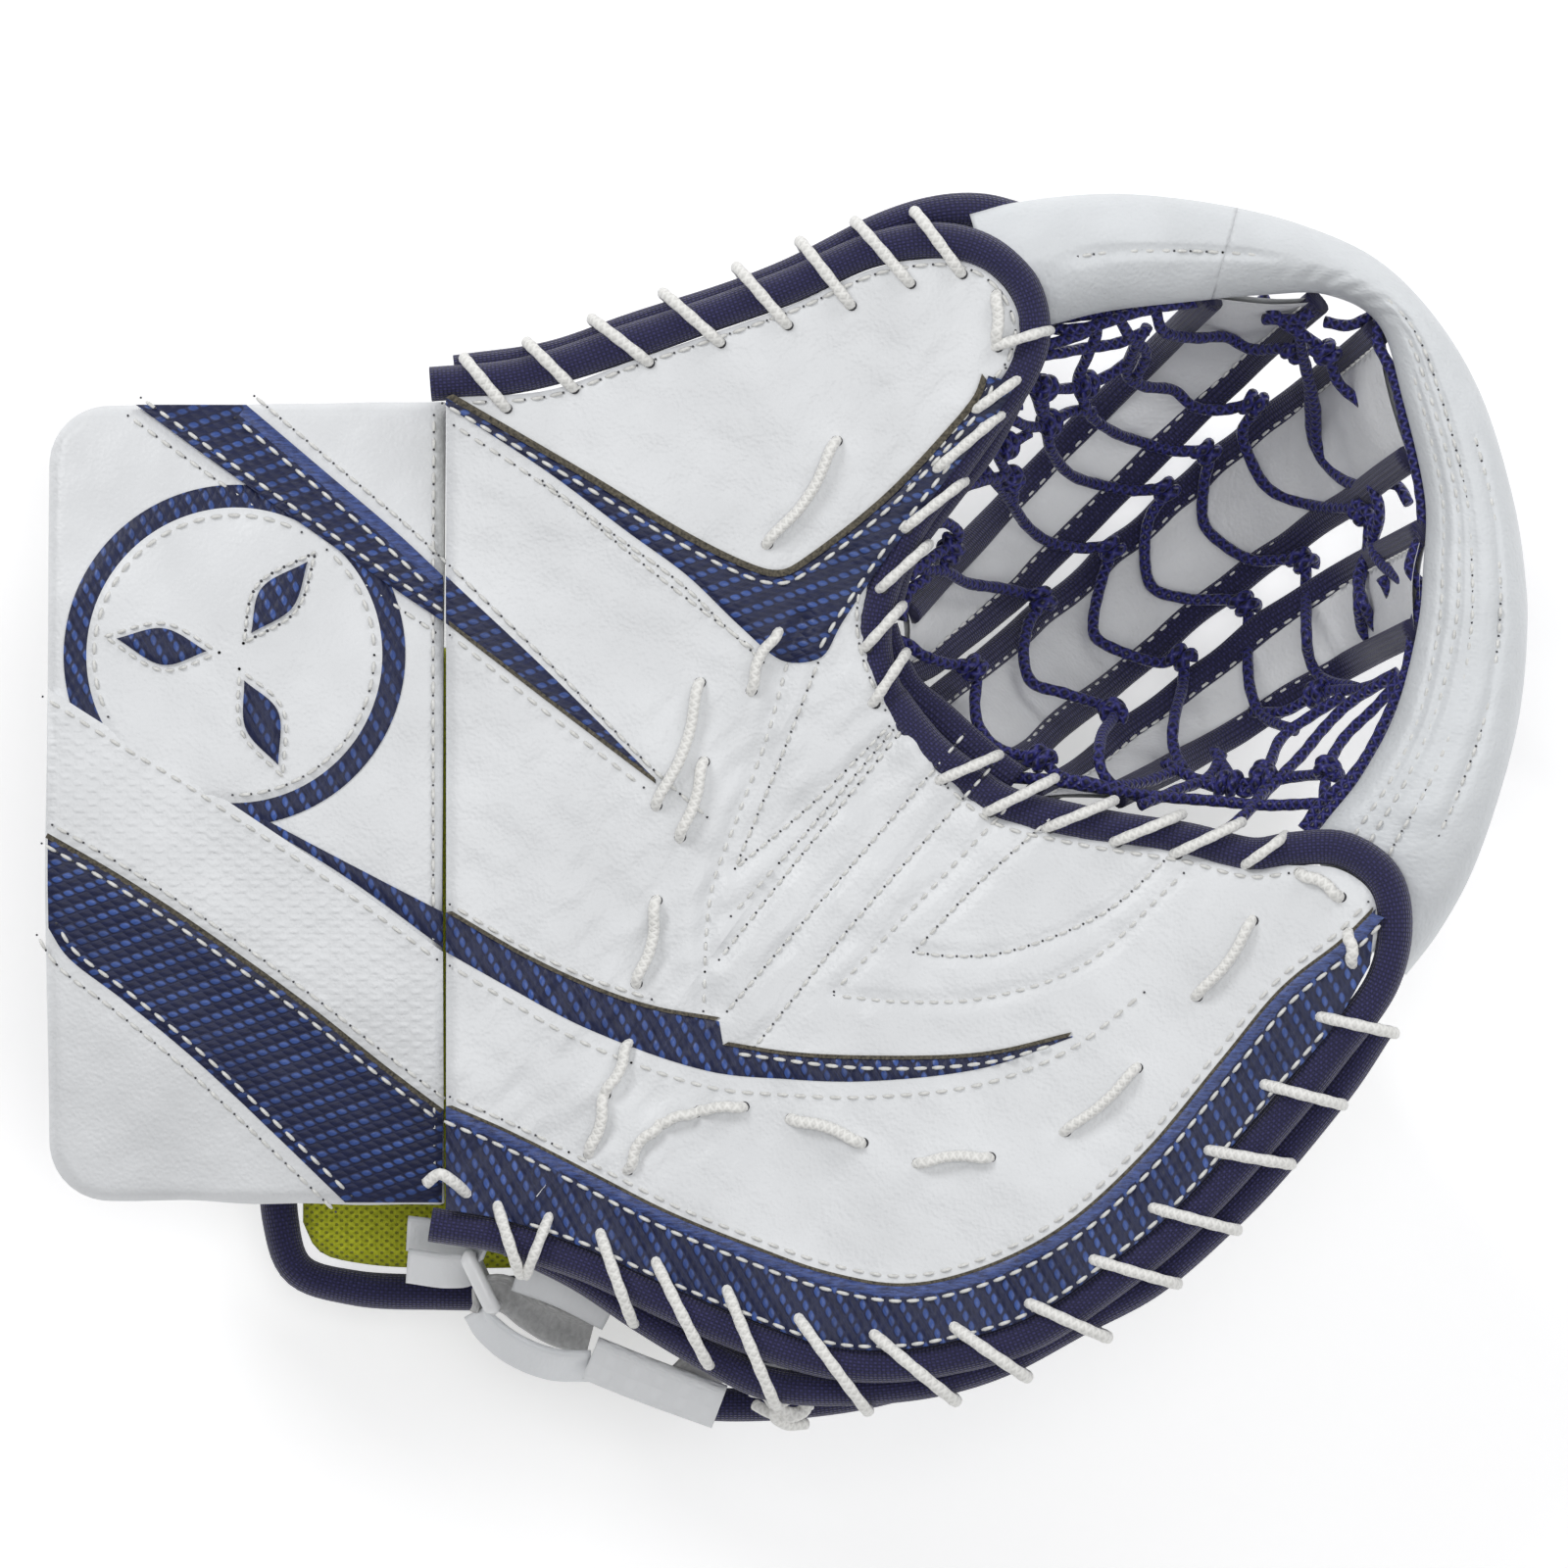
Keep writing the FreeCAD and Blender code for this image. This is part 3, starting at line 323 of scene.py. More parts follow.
def tube(name, line, radius, mat, sides=12, up=None, shape=None, caps=True, power=2.0, wob=0.0):
    """A tube along a line; shape gives half width and half height where it isn't round."""
    line = np.asarray(line, float)
    _, s, u = frames(line, up)
    n = len(line)
    a = np.linspace(0, 2 * math.pi, sides, endpoint=False)
    ca = np.sign(np.cos(a)) * np.abs(np.cos(a)) ** (2 / power)
    sa = np.sign(np.sin(a)) * np.abs(np.sin(a)) ** (2 / power)
    rx = np.full(n, radius) if shape is None else np.broadcast_to(shape[0], n)
    ry = np.full(n, radius) if shape is None else np.broadcast_to(shape[1], n)
    if wob:
        rx = rx * (1 + wob * noise(np.arange(n) * 1.0, np.zeros(n), 16, 4))
        ry = ry * (1 + wob * noise(np.arange(n) * 1.0, np.ones(n) * 50, 16, 5))
    across = s[:, None] * (ca[None, :, None] * rx[:, None, None])
    upward = u[:, None] * (sa[None, :, None] * ry[:, None, None])
    v = (line[:, None] + across + upward).reshape(-1, 3)
    run = np.concatenate([[0], np.cumsum(np.linalg.norm(np.diff(line, axis=0), axis=1))])
    around = 2 * math.pi * (rx.mean() + ry.mean()) / 2
    faces = []
    for i in range(n - 1):
        for k in range(sides):
            k2 = (k + 1) % sides
            faces.append([i * sides + k, i * sides + k2, (i + 1) * sides + k2, (i + 1) * sides + k])
    if caps:
        faces.append(list(range(sides))[::-1])
        faces.append([(n - 1) * sides + k for k in range(sides)])
    me_uv = np.array([[run[i], 0] for i in range(n) for k in range(sides)])
    o = obj_from(name, v, faces, me_uv, mat)
    layer = o.data.uv_layers[0].data
    idx = np.zeros(len(o.data.loops), np.int32)
    o.data.loops.foreach_get("vertex_index", idx)
    k = idx % sides
    i = idx // sides
    vv = k / sides * around
    start = np.zeros(len(o.data.polygons), np.int32)
    total = np.zeros(len(o.data.polygons), np.int32)
    o.data.polygons.foreach_get("loop_start", start)
    o.data.polygons.foreach_get("loop_total", total)
    for st, tt in zip(start, total):
        if tt == 4:
            ks = k[st:st + 4]
            if ks.max() - ks.min() > 2:
                vv[st:st + 4][ks < sides // 2] += around
    uvs = np.stack([run[np.clip(i, 0, n - 1)], vv], 1) / 100.0
    layer.foreach_set("uv", uvs.astype(np.float32).ravel())
    return o


def join(name, objs):
    """Several pieces made into one."""
    objs = [o for o in objs if o is not None]
    if len(objs) == 1:
        objs[0].name = name
        return objs[0]
    with bpy.context.temp_override(active_object=objs[0], selected_objects=objs,
        selected_editable_objects=objs):
        bpy.ops.object.join()
    objs[0].name = name
    objs[0].data.name = name
    return objs[0]


# ---------- materials ----------
class Paint:
    """A small builder for one node material."""

    def __init__(self, name, rough=0.5, coat=0.0, sheen=0.0, spec=0.5, metal=0.0):
        self.m = bpy.data.materials.new(name)
        self.m.use_nodes = True
        self.t = self.m.node_tree
        self.b = self.t.nodes["Principled BSDF"]
        self.b.inputs["Roughness"].default_value = rough
        self.b.inputs["Metallic"].default_value = metal
        self.b.inputs["Specular IOR Level"].default_value = spec
        self.b.inputs["Coat Weight"].default_value = coat
        self.b.inputs["Coat Roughness"].default_value = 0.25
        self.b.inputs["Sheen Weight"].default_value = sheen
        self.uv = self.add("ShaderNodeUVMap").outputs[0]
        self.uv.node.uv_map = "UVMap"
        self.sep = None

    def add(self, kind, **props):
        n = self.t.nodes.new(kind)
        for k, v in props.items():
            setattr(n, k, v)
        return n

    def link(self, a, b):
        if isinstance(a, (int, float)):
            b.default_value = a
        elif isinstance(a, tuple):
            b.default_value = a if len(a) == 4 or b.type != "RGBA" else (*a, 1)
        else:
            self.t.links.new(a, b)

    def math(self, op, a, b=0.0, c=0.0):
        n = self.add("ShaderNodeMath", operation=op)
        for i, x in enumerate((a, b, c)):
            self.link(x, n.inputs[i])
        return n.outputs[0]

    def mm(self):
        """The two lengths along the surface in millimetres."""
        if self.sep is None:
            n = self.add("ShaderNodeSeparateXYZ")
            self.link(self.uv, n.inputs[0])
            self.sep = (self.math("MULTIPLY", n.outputs[0], 100.0),
                self.math("MULTIPLY", n.outputs[1], 100.0))
        return self.sep

    def noise(self, scale, detail=3.0, rough=0.55, stretch=None):
        n = self.add("ShaderNodeTexNoise")
        n.inputs["Scale"].default_value = scale
        n.inputs["Detail"].default_value = detail
        n.inputs["Roughness"].default_value = rough
        src = self.uv
        if stretch:
            m = self.add("ShaderNodeMapping")
            self.link(self.uv, m.inputs[0])
            m.inputs["Scale"].default_value = stretch
            src = m.outputs[0]
        self.link(src, n.inputs["Vector"])
        return n.outputs["Fac"]

    def cells(self, scale, feature="F1"):
        n = self.add("ShaderNodeTexVoronoi", feature=feature)
        n.inputs["Scale"].default_value = scale
        self.link(self.uv, n.inputs["Vector"])
        return n.outputs["Distance"]

    def mix(self, f, a, b, kind="MIX"):
        n = self.add("ShaderNodeMix", data_type="RGBA", blend_type=kind)
        self.link(f, n.inputs[0])
        self.link(a, n.inputs[6])
        self.link(b, n.inputs[7])
        return n.outputs[2]

    def ramp(self, f, low, high):
        n = self.add("ShaderNodeMapRange")
        self.link(f, n.inputs[0])
        n.inputs[1].default_value = low
        n.inputs[2].default_value = high
        return n.outputs[0]

    def color(self, c):
        self.link(c, self.b.inputs["Base Color"])

    def rough(self, r):
        self.link(r, self.b.inputs["Roughness"])

    def bump(self, *heights):
        """Bumps stacked on each other: (height, depth in millimetres)."""
        last = None
        for h, depth in heights:
            n = self.add("ShaderNodeBump")
            n.inputs["Strength"].default_value = 1.0
            n.inputs["Distance"].default_value = depth * MM
            self.link(h, n.inputs["Height"])
            if last is not None:
                self.t.links.new(last, n.inputs["Normal"])
            last = n.outputs[0]
        self.t.links.new(last, self.b.inputs["Normal"])


def weave(p, pitch_u, pitch_v):
    """A plain weave: its height, and which way the upper thread runs."""
    u, v = p.mm()
    a = p.math("DIVIDE", u, pitch_u)
    b = p.math("DIVIDE", v, pitch_v)
    par = p.math("MODULO", p.math("ADD", p.math("FLOOR", a), p.math("FLOOR", b)), 2.0)
    par = p.math("ABSOLUTE", par)
    ha = p.math("SINE", p.math("MULTIPLY", p.math("FRACT", a), math.pi))
    hb = p.math("SINE", p.math("MULTIPLY", p.math("FRACT", b), math.pi))
    return p.math("MULTIPLY", ha, hb), par


def white_leather(name, base=(0.80, 0.815, 0.835), emboss=False, rough=0.42):
    p = Paint(name, rough=rough, spec=0.45, coat=0.06)
    big = p.noise(3.0, 3.0)
    fine = p.noise(60.0, 4.0)
    dark = tuple(c * 0.9 for c in base)
    col = p.mix(p.ramp(big, 0.35, 0.68), dark, base)
    col = p.mix(p.math("MULTIPLY", p.ramp(fine, 0.62, 0.8), 0.25), col, tuple(c * 0.9 for c in base))
    grain = p.cells(105.0, "SMOOTH_F1")
    crease = p.noise(9.0, 5.0, 0.62)
    hs = [(crease, 0.55), (grain, 0.15), (fine, 0.08)]
    if emboss:
        h, par = weave(p, 3.4, 1.7)
        hs.append((p.math("MULTIPLY", h, par), 0.16))
        # the raised cells of the emboss are painted lighter: painted highlight on the weave
        col = p.mix(p.math("MULTIPLY", p.math("MULTIPLY", h, par), 0.22), col,
            tuple(min(c * 1.1, 1) for c in base))
    p.color(col)
    p.bump(*hs)
    return p.m


def carbon(name, turn=0.0):
    """Navy cloth-look leather: chains of lighter blue links on a dull ground; the links' colour is partly
    painted highlight on their crowns.
    """
    p = Paint(name, rough=0.3, spec=0.4, coat=0.1)
    m = p.add("ShaderNodeMapping")
    p.link(p.uv, m.inputs[0])
    m.inputs["Rotation"].default_value = (0, 0, math.radians(turn))
    p.uv = m.outputs[0]
    u, v = p.mm()
    b = p.math("DIVIDE", v, 2.1)
    row = p.math("FLOOR", b)
    a = p.math("ADD", p.math("DIVIDE", u, 2.9), p.math("MULTIPLY", row, 0.27))
    lean = p.math("ADD", a, p.math("MULTIPLY", p.math("FRACT", b), 0.45))
    chain = p.math("LESS_THAN", p.math("ABSOLUTE", p.math("MODULO", p.math("ADD", row, 400.0), 2.0)), 0.5)
    fa = p.math("SINE", p.math("MULTIPLY", p.math("FRACT", lean), math.pi))
    fb = p.math("SINE", p.math("MULTIPLY", p.math("FRACT", b), math.pi))
    h = p.math("MULTIPLY", fa, fb)
    strands = p.noise(18.0, 4.0, 0.7, stretch=(1, 14, 1))
    # the links are painted lighter blue towards their crowns: partly the blue threads' own colour, partly
    # painted highlight, stronger in noise patches
    link = p.math("MULTIPLY", chain, p.ramp(h, 0.25, 0.6))
    patch = p.ramp(p.noise(5.0, 2.0), 0.3, 0.72)
    blue_link_and_highlight = p.math("MULTIPLY", link, p.math("ADD", 0.35, p.math("MULTIPLY", patch, 0.75)))
    blue_link_and_highlight = p.math("MULTIPLY", blue_link_and_highlight, p.math("ADD", 0.45, strands))
    ground = p.mix(p.ramp(strands, 0.35, 0.7), (0.003, 0.005, 0.03), (0.009, 0.017, 0.08))
    p.color(p.mix(p.math("MINIMUM", blue_link_and_highlight, 1.0), ground, (0.05, 0.11, 0.38)))
    p.rough(p.math("SUBTRACT", 0.46, p.math("MULTIPLY", blue_link_and_highlight, 0.2)))
    p.bump((h, 0.22), (strands, 0.08))
    return p.m


def edge_blue(name):
    """The pale metallic strip along a woven panel's edge."""
    p = Paint(name, rough=0.32, spec=0.45, coat=0.12)
    n = p.noise(30.0, 5.0, 0.7, stretch=(1, 5, 1))
    col = p.mix(p.ramp(n, 0.35, 0.7), (0.008, 0.013, 0.06), (0.07, 0.125, 0.4))
    p.color(col)
    p.bump((n, 0.2))
    return p.m


def nylon(name, base=(0.007, 0.0065, 0.036), lit=(0.04, 0.038, 0.155), pitch=1.05):
    p = Paint(name, rough=0.62, spec=0.35, sheen=0.25)
    h, par = weave(p, pitch, pitch * 0.8)
    wear_and_sheen = p.noise(7.0, 3.0)
    # thread crowns painted towards lit, one thread direction more than the other: painted highlight, varied
    # in noise patches; the same noise also roughens the bump
    f = p.math("MULTIPLY", h, p.math("ADD", 0.45, p.math("MULTIPLY", par, 0.55)))
    f = p.math("MULTIPLY", f, p.math("ADD", 0.5, wear_and_sheen))
    p.color(p.mix(p.math("MINIMUM", f, 1.0), base, lit))
    p.bump((h, 0.22), (wear_and_sheen, 0.3))
    return p.m


def braid(name, dark, light, pitch=2.5, girth=9.4, rough=0.6, sheen=0.3, depth=0.35):
    p = Paint(name, rough=rough, spec=0.4, sheen=sheen)
    u, v = p.mm()
    a = p.math("MULTIPLY", u, 2 * math.pi / pitch)
    b = p.math("MULTIPLY", v, 2 * math.pi * 3 / girth)
    one = p.math("SINE", p.math("ADD", a, b))
    two = p.math("SINE", p.math("SUBTRACT", a, b))
    h = p.math("MAXIMUM", one, two)
    h = p.ramp(h, -0.3, 1.0)
    fine = p.noise(80.0, 3.0)
    f = p.math("MULTIPLY", h, p.math("ADD", 0.6, p.math("MULTIPLY", fine, 0.8)))
    # braid crowns painted towards light and crevices towards dark: painted highlight on the crowns, painted
    # shade in the crevices
    p.color(p.mix(p.math("MINIMUM", f, 1.0), dark, light))
    p.bump((h, depth), (fine, 0.06))
    return p.m


def simple(name, a, b, scale, rough, bump=0.1, detail=4.0, coat=0.0, sheen=0.0):
    p = Paint(name, rough=rough, coat=coat, sheen=sheen)
    n = p.noise(scale, detail)
    p.color(p.mix(p.ramp(n, 0.3, 0.7), a, b))
    p.bump((n, bump))
    return p.m


def mesh_cloth(name):
    """Spacer mesh: rows of small holes in a bright knit."""
    p = Paint(name, rough=0.7, sheen=0.3, spec=0.3)
    u, v = p.mm()
    a = p.math("SINE", p.math("MULTIPLY", u, 2 * math.pi / 2.6))
    b = p.math("SINE", p.math("MULTIPLY", v, 2 * math.pi / 2.1))
    h = p.math("MULTIPLY", a, b)
    hole = p.ramp(h, 0.35, 0.75)
    n = p.noise(70.0, 3.0)
    base = p.mix(p.ramp(n, 0.3, 0.7), (0.42, 0.46, 0.008), (0.66, 0.7, 0.03))
    # the holes are painted dark: painted shade inside the mesh holes
    p.color(p.mix(p.math("MULTIPLY", hole, 0.75), base, (0.16, 0.17, 0.01)))
    p.bump((hole, -0.3), (n, 0.1))
    return p.m


WHITE = white_leather("white_leather")
WHITE_SOFT = white_leather("white_leather_soft", base=(0.78, 0.80, 0.825), rough=0.5)
WHITE_WEAVE = white_leather("white_woven_leather", emboss=True)
# a lit copy of the white leather, painted lighter to make up for the shade in the pocket bowl: painted light
POCKET_WHITE_LIT = white_leather("pocket_leather", base=(0.93, 0.94, 0.95), rough=0.5)
RIM_WHITE = white_leather("rim_leather", base=(0.76, 0.785, 0.81), rough=0.46)
CARBON = carbon("navy_woven_panel", -20)
CARBON_B = carbon("navy_woven_panel_turned", 60)
BLUE_EDGE = edge_blue("blue_panel_edge")
NYLON = nylon("navy_nylon_roll")
NYLON_FLAT = nylon("navy_nylon_wrap", pitch=0.95)
# both lace colours carry painted highlight on the braid crowns and painted shade in its crevices
LACE = braid("white_braided_lace", (0.77, 0.765, 0.74), (0.9, 0.895, 0.87), pitch=1.9, depth=0.16)
WAXED = braid("navy_waxed_lace", (0.004, 0.004, 0.03), (0.03, 0.03, 0.2), pitch=2.6, rough=0.36, sheen=0.1)
# the white thread is coloured a little greyer than the white leather: painted shade along the stitches
THREAD = simple("white_thread", (0.62, 0.62, 0.6), (0.85, 0.85, 0.83), 90, 0.6, 0.05)
# near black: painted shade inside the needle holes and the lace holes
HOLE = simple("needle_hole", (0.05, 0.05, 0.06), (0.1, 0.1, 0.11), 40, 0.9, 0.05)
RAW = simple("raw_leather_edge", (0.02, 0.018, 0.016), (0.16, 0.14, 0.1), 120, 0.8, 0.3)
SUEDE = simple("grey_suede", (0.30, 0.30, 0.30), (0.52, 0.52, 0.52), 75, 0.9, 0.25, sheen=0.6)
YELLOW = mesh_cloth("yellow_green_mesh")
PLASTIC = simple("white_plastic", (0.78, 0.79, 0.8), (0.86, 0.87, 0.88), 12, 0.3, 0.02, coat=0.2)
LINING = simple("grey_lining", (0.16, 0.165, 0.18), (0.3, 0.305, 0.32), 60, 0.8, 0.2, sheen=0.3)
FOAM = simple("pale_foam", (0.6, 0.6, 0.56), (0.72, 0.72, 0.68), 80, 0.85, 0.3)


# ---------- small sewn things ----------
def stitched(name, line, mat, dash=3.3, gap=1.2, r=0.42, rise=0.25, up=(0, 0, 1)):
    """A row of stitches along a line in space."""
    seg = np.linalg.norm(np.diff(line, axis=0), axis=1)
    s = np.concatenate([[0], np.cumsum(seg)])
    step = dash + gap
    n = int(s[-1] // step)
    if n < 1:
        return None
    first = (s[-1] - n * step + gap) / 2
    rows, sides = 5, 6
    ups = np.asarray(up, float)
    verts, faces = [], []
    a = np.linspace(0, 2 * math.pi, sides, endpoint=False)
    for i in range(n):
        t = first + i * step + np.linspace(0, dash, rows)
        c = np.stack([np.interp(t, s, line[:, k]) for k in range(3)], 1)
        if ups.ndim == 2:
            idx = min(int(np.searchsorted(s, t[2])), len(line) - 1)
            w = ups[idx]
        else:
            w = ups
        d = c[-1] - c[0]
        d /= np.linalg.norm(d) + 1e-9
        side = np.cross(d, w)
        side /= np.linalg.norm(side) + 1e-9
        lift = np.array([-0.45, rise * 0.7, rise, rise * 0.7, -0.45])
        rad = np.array([0.55, 1.0, 1.05, 1.0, 0.55]) * r
        base = len(verts)
        for k in range(rows):
            for q in a:
                verts.append(c[k] + w * (lift[k] + math.sin(q) * rad[k]) + side * math.cos(q) * rad[k] * 1.15)
        for k in range(rows - 1):
            for q in range(sides):
                q2 = (q + 1) % sides
                faces.append([base + k * sides + q, base + k * sides + q2, base + (k + 1) * sides + q2,
                    base + (k + 1) * sides + q])
        faces.append([base + q for q in range(sides)][::-1])
        faces.append([base + (rows - 1) * sides + q for q in range(sides)])
    v = np.array(verts)
    return obj_from(name, v, faces, v[:, :2] + v[:, 2:3] * 0.3, mat)


def dots(name, line, step=4.5, r=0.42, mat=None, dz=0.05, sides=6):
    """Needle holes along a line."""
    pts = spaced(line, step)
    a = np.linspace(0, 2 * math.pi, sides, endpoint=False)
    verts, faces = [], []
    for p in pts:
        base = len(verts)
        for q in a:
            verts.append(p + [math.cos(q) * r, math.sin(q) * r, dz])
        for q in a:
            verts.append(p + [math.cos(q) * r * 0.7, math.sin(q) * r * 0.7, dz - 0.5])
        faces.append([base + i for i in range(sides)])
        faces.append([base + sides + i for i in range(sides)][::-1])
        for i in range(sides):
            j = (i + 1) % sides
            faces.append([base + j, base + i, base + sides + i, base + sides + j])
    v = np.array(verts)
    # the default colour is near black: painted shade in the holes
    return obj_from(name, v, faces, v[:, :2], mat or HOLE)


def lay(line, z, dz=0.0):
    """A plan line laid on a surface."""
    line = np.asarray(line, float)[:, :2]
    return np.column_stack([line, z(line) + dz])


A_SIDE, B_SIDE = [], []      # pieces on the thumb half and on the finger half of the pocket
RIDE = {}


def on(body, *objs):
    RIDE.setdefault(body, []).extend(o for o in objs if o is not None)


def clip(outline, sign):
    """The part of an outline on one side of the fold line."""
    s = side_of(outline) * sign
    out = []
    for i in range(len(outline)):
        j = (i + 1) % len(outline)
        if s[i] >= 0:
            out.append(outline[i])
        if (s[i] > 0) != (s[j] > 0) and abs(s[i] - s[j]) > 1e-9:
            t = s[i] / (s[i] - s[j])
            out.append(outline[i] + (outline[j] - outline[i]) * t)
    keep = [p for k, p in enumerate(out) if np.linalg.norm(p - out[k - 1]) > 1e-3]
    return np.array(keep)


def parts_of(line):
    """A line cut where it crosses the fold: (sign, piece) for each piece."""
    s = side_of(line)
    sign = np.where(s >= 0, 1, -1)
    out, first = [], 0
    for i in range(1, len(line) + 1):
        if i == len(line) or sign[i] != sign[first]:
            if i - first > 2:
                out.append((sign[first], line[max(first - 1, 0):i]))
            first = i
    return out


def put(sign, *objs):
    """Pieces kept with the thumb half or the finger half."""
    (A_SIDE if sign > 0 else B_SIDE).extend(o for o in objs if o is not None)
    return objs[0]


def both(name, outline, z, thick, mat, **kw):
    """One sewn panel that may cross the fold, made as one piece on each side of it."""
    s = side_of(outline)
    for sign, tag in ((1, "a"), (-1, "b")):
        if (s * sign).max() > 1.0:
            whole = (s * sign).min() >= -0.2
            part = outline if whole else clip(outline, sign)
            put(sign, panel(name if whole else name + "_" + tag, part, z, thick, mat, rim=outline, **kw))


SEWN = {1: [], -1: []}
HOLES = {1: [], -1: []}


def sew(line, z, dz=0.0, step=1.0, dash=3.2, gap=1.3, r=0.4, mat=None, holes=True):
    """A row of stitches on the face, with its needle holes."""
    line = smooth(line, step) if not isinstance(line, np.ndarray) else line
    for sign, part in parts_of(line):
        at = lay(part, z, dz)
        SEWN[sign].append(stitched("sewn", at, mat or THREAD, dash, gap, r))
        if holes:
            HOLES[sign].append(dots("holes", at, dash + gap, 0.33, HOLE, 0.12))


# ---------- the face ----------
THUMB_OUTER = [(-86, 105), (-60, 107), (-40, 114), (0, 128), (25, 138.5), (45, 139.5), (55, 133),
    (59.5, 122), (57, 112)]
THUMB_POCKET = [(57, 112), (48, 100), (39, 89), (29, 76), (22, 62), (20, 48), (22, 38), (27, 27)]
HEEL_LOW = tuple(CROTCH + DIR * -153)
FINGER_POCKET = [(27, 27), (42, 8), (53, -0.5), (75, -6), (100, -10), (117, -14), (126, -13)]
FINGER_TIP = [(126, -13), (139, -14), (147, -20), (148.5, -30), (145, -41)]
FINGER_OUTER = [(145, -41), (125, -68), (98, -98), (80, -113), (60, -126), (40, -132), (25, -134),
    (10, -133), (-10, -126), (-30, -118), (-50, -109), HEEL_LOW]
FOLD_LINE = [HEEL_LOW, (27, 27)]

QUILT = [([(-21, -50), (-19, -20), (-12, 0), (-5, 19), (0, 37), (4, 50)], 1.2, 2.0),
    ([(-17, -37), (5, -9), (30, 22)], 0.9, 1.8), ([(-15, -50), (14, -16), (45, 20)], 0.9, 1.8),
    ([(-8, -59), (20, -24), (52, 12)], 0.9, 1.8), ([(12, -45), (30, -26), (60, 6)], 0.8, 1.8),
    ([(33, -34), (48, -18), (68, 0)], 0.7, 1.8), ([(8, 38), (-3, 10), (-13, -14)], 0.7, 1.8),
    ([(-13, -14), (6, 2), (26, 22)], 0.8, 1.8), ([(-14, -26), (4, -6), (27, 21)], 0.6, 1.6),
    ([(12, -46), (30, -47.5), (50, -46.5), (75, -38), (100, -15)], 0.8, 1.8),
    ([(32, -35), (42, -36), (55, -35), (80, -25), (95, -12)], 0.8, 1.8)]
QUILT = [(smooth(q, 2.0), a * 1.35, b * 1.05) for q, a, b in QUILT]


def face_z(v):
    """Height of the sewn face: flat leather with soft unevenness and drawn seams."""
    x, y = v[:, 0], v[:, 1]
    z = palm_z(v) + 0.75 * noise(x, y, 48, 11) + 0.22 * noise(x, y, 14, 12)
    zone = np.exp(-(side_of(v) / 45.0) ** 2)
    z = z + 0.8 * zone * noise(x * DIR[0] + y * DIR[1], (x * NOR[0] + y * NOR[1]) * 3.0, 26, 13)
    for line, deep, wide in QUILT:
        z = z - deep * np.exp(-(near(v, line) / wide) ** 2)
    return z


def above(k):
    return lambda v: face_z(v) + k


left = [(-86, -98), (-86, 105)]
thumb_skin = ring(THUMB_OUTER, THUMB_POCKET, [(27, 27), HEEL_LOW], [HEEL_LOW, (-86, -98)], left, step=1.5)
finger_skin = ring(FINGER_POCKET, FINGER_TIP, FINGER_OUTER, FOLD_LINE, step=1.5)
thumb_rim = np.vstack([smooth(THUMB_OUTER, 2), smooth(THUMB_POCKET, 2)])
thumb_rim = np.vstack([thumb_rim, [(60, -40)], [(-20, -140)], spaced(np.array(left, float), 2)])
finger_rim = np.vstack([smooth(FINGER_POCKET, 2), smooth(FINGER_TIP, 2), smooth(FINGER_OUTER, 2),
    [(-120, -60)], [(-60, 60)]])
put(1, panel("palm_and_thumb_leather", thumb_skin, face_z, 3.0, WHITE, h=1.7, edge=2.5, rim=thumb_rim))
put(-1, panel("finger_leather", finger_skin, face_z, 3.0, WHITE, h=1.7, edge=2.5, rim=finger_rim))

V_TOP = [(-86, 105), (-50, 84), (-25, 69), (-12, 62.5), (-5, 60), (0, 60), (6, 63.5), (25, 78.5), (40, 94),
    (49, 105), (51, 110.5)]
V_LOW = [(-86, 103), (-60, 86), (-40, 71), (-25, 60), (-12, 47.5), (-2, 39), (2, 38), (9, 39.5), (14, 48),
    (27, 67), (37, 80), (52, 99)]
v_out = ring(V_TOP, [V_TOP[-1], (57, 108), V_LOW[-1]], V_LOW[::-1], [V_LOW[0], V_TOP[0]], step=1.5)
both("palm_v_panel", v_out, above(0.9), 1.5, CARBON, h=1.6, edge=0.5)
both("thumb_v_edge", ring(V_TOP, list(map(tuple, beside(smooth(V_TOP, 3), 1.7)[::-1])), step=1.2),
    above(1.2), 1.5, RAW, h=1.0, edge=0.4)
sew(beside(smooth(V_TOP, 1), -1.7), face_z, 1.3)
sew(beside(smooth([(-60, 86), (-40, 71), (-25, 60), (-12, 47.5), (-4, 40)], 1), -2.6), face_z, 0.2)
sew(beside(smooth([(9, 39.5), (14, 48), (27, 67), (37, 80), (52, 99)], 1), 1.6), face_z, 1.1, holes=False)
sew([(-7, 40.5), (-30, 58), (-60, 82), (-84, 98)], face_z, 0.1, mat=THREAD)

W2_TOP = [(-86, 60), (-60, 35.5), (-33, 8.5)]
W2_LOW = [(-33, 7.5), (-60, 28), (-86, 48)]
both("heel_panel_upper", ring(W2_TOP, [W2_TOP[-1], W2_LOW[0]], W2_LOW, [W2_LOW[-1], W2_TOP[0]], step=1.5),
    above(0.6), 1.4, CARBON, h=1.4, edge=0.4)
both("heel_panel_upper_edge", ring(W2_LOW, list(map(tuple, beside(smooth(W2_LOW, 3), -1.0)[::-1])),
    step=1.2), above(0.9), 1.2, RAW, h=1.0, edge=0.3)
sew([(-85, 62.5), (-60, 38), (-33, 10.5), (-20, -1)], face_z, 0.5)
sew([(-85, 45), (-60, 25), (-36, 6.5)], face_z, 0.2)

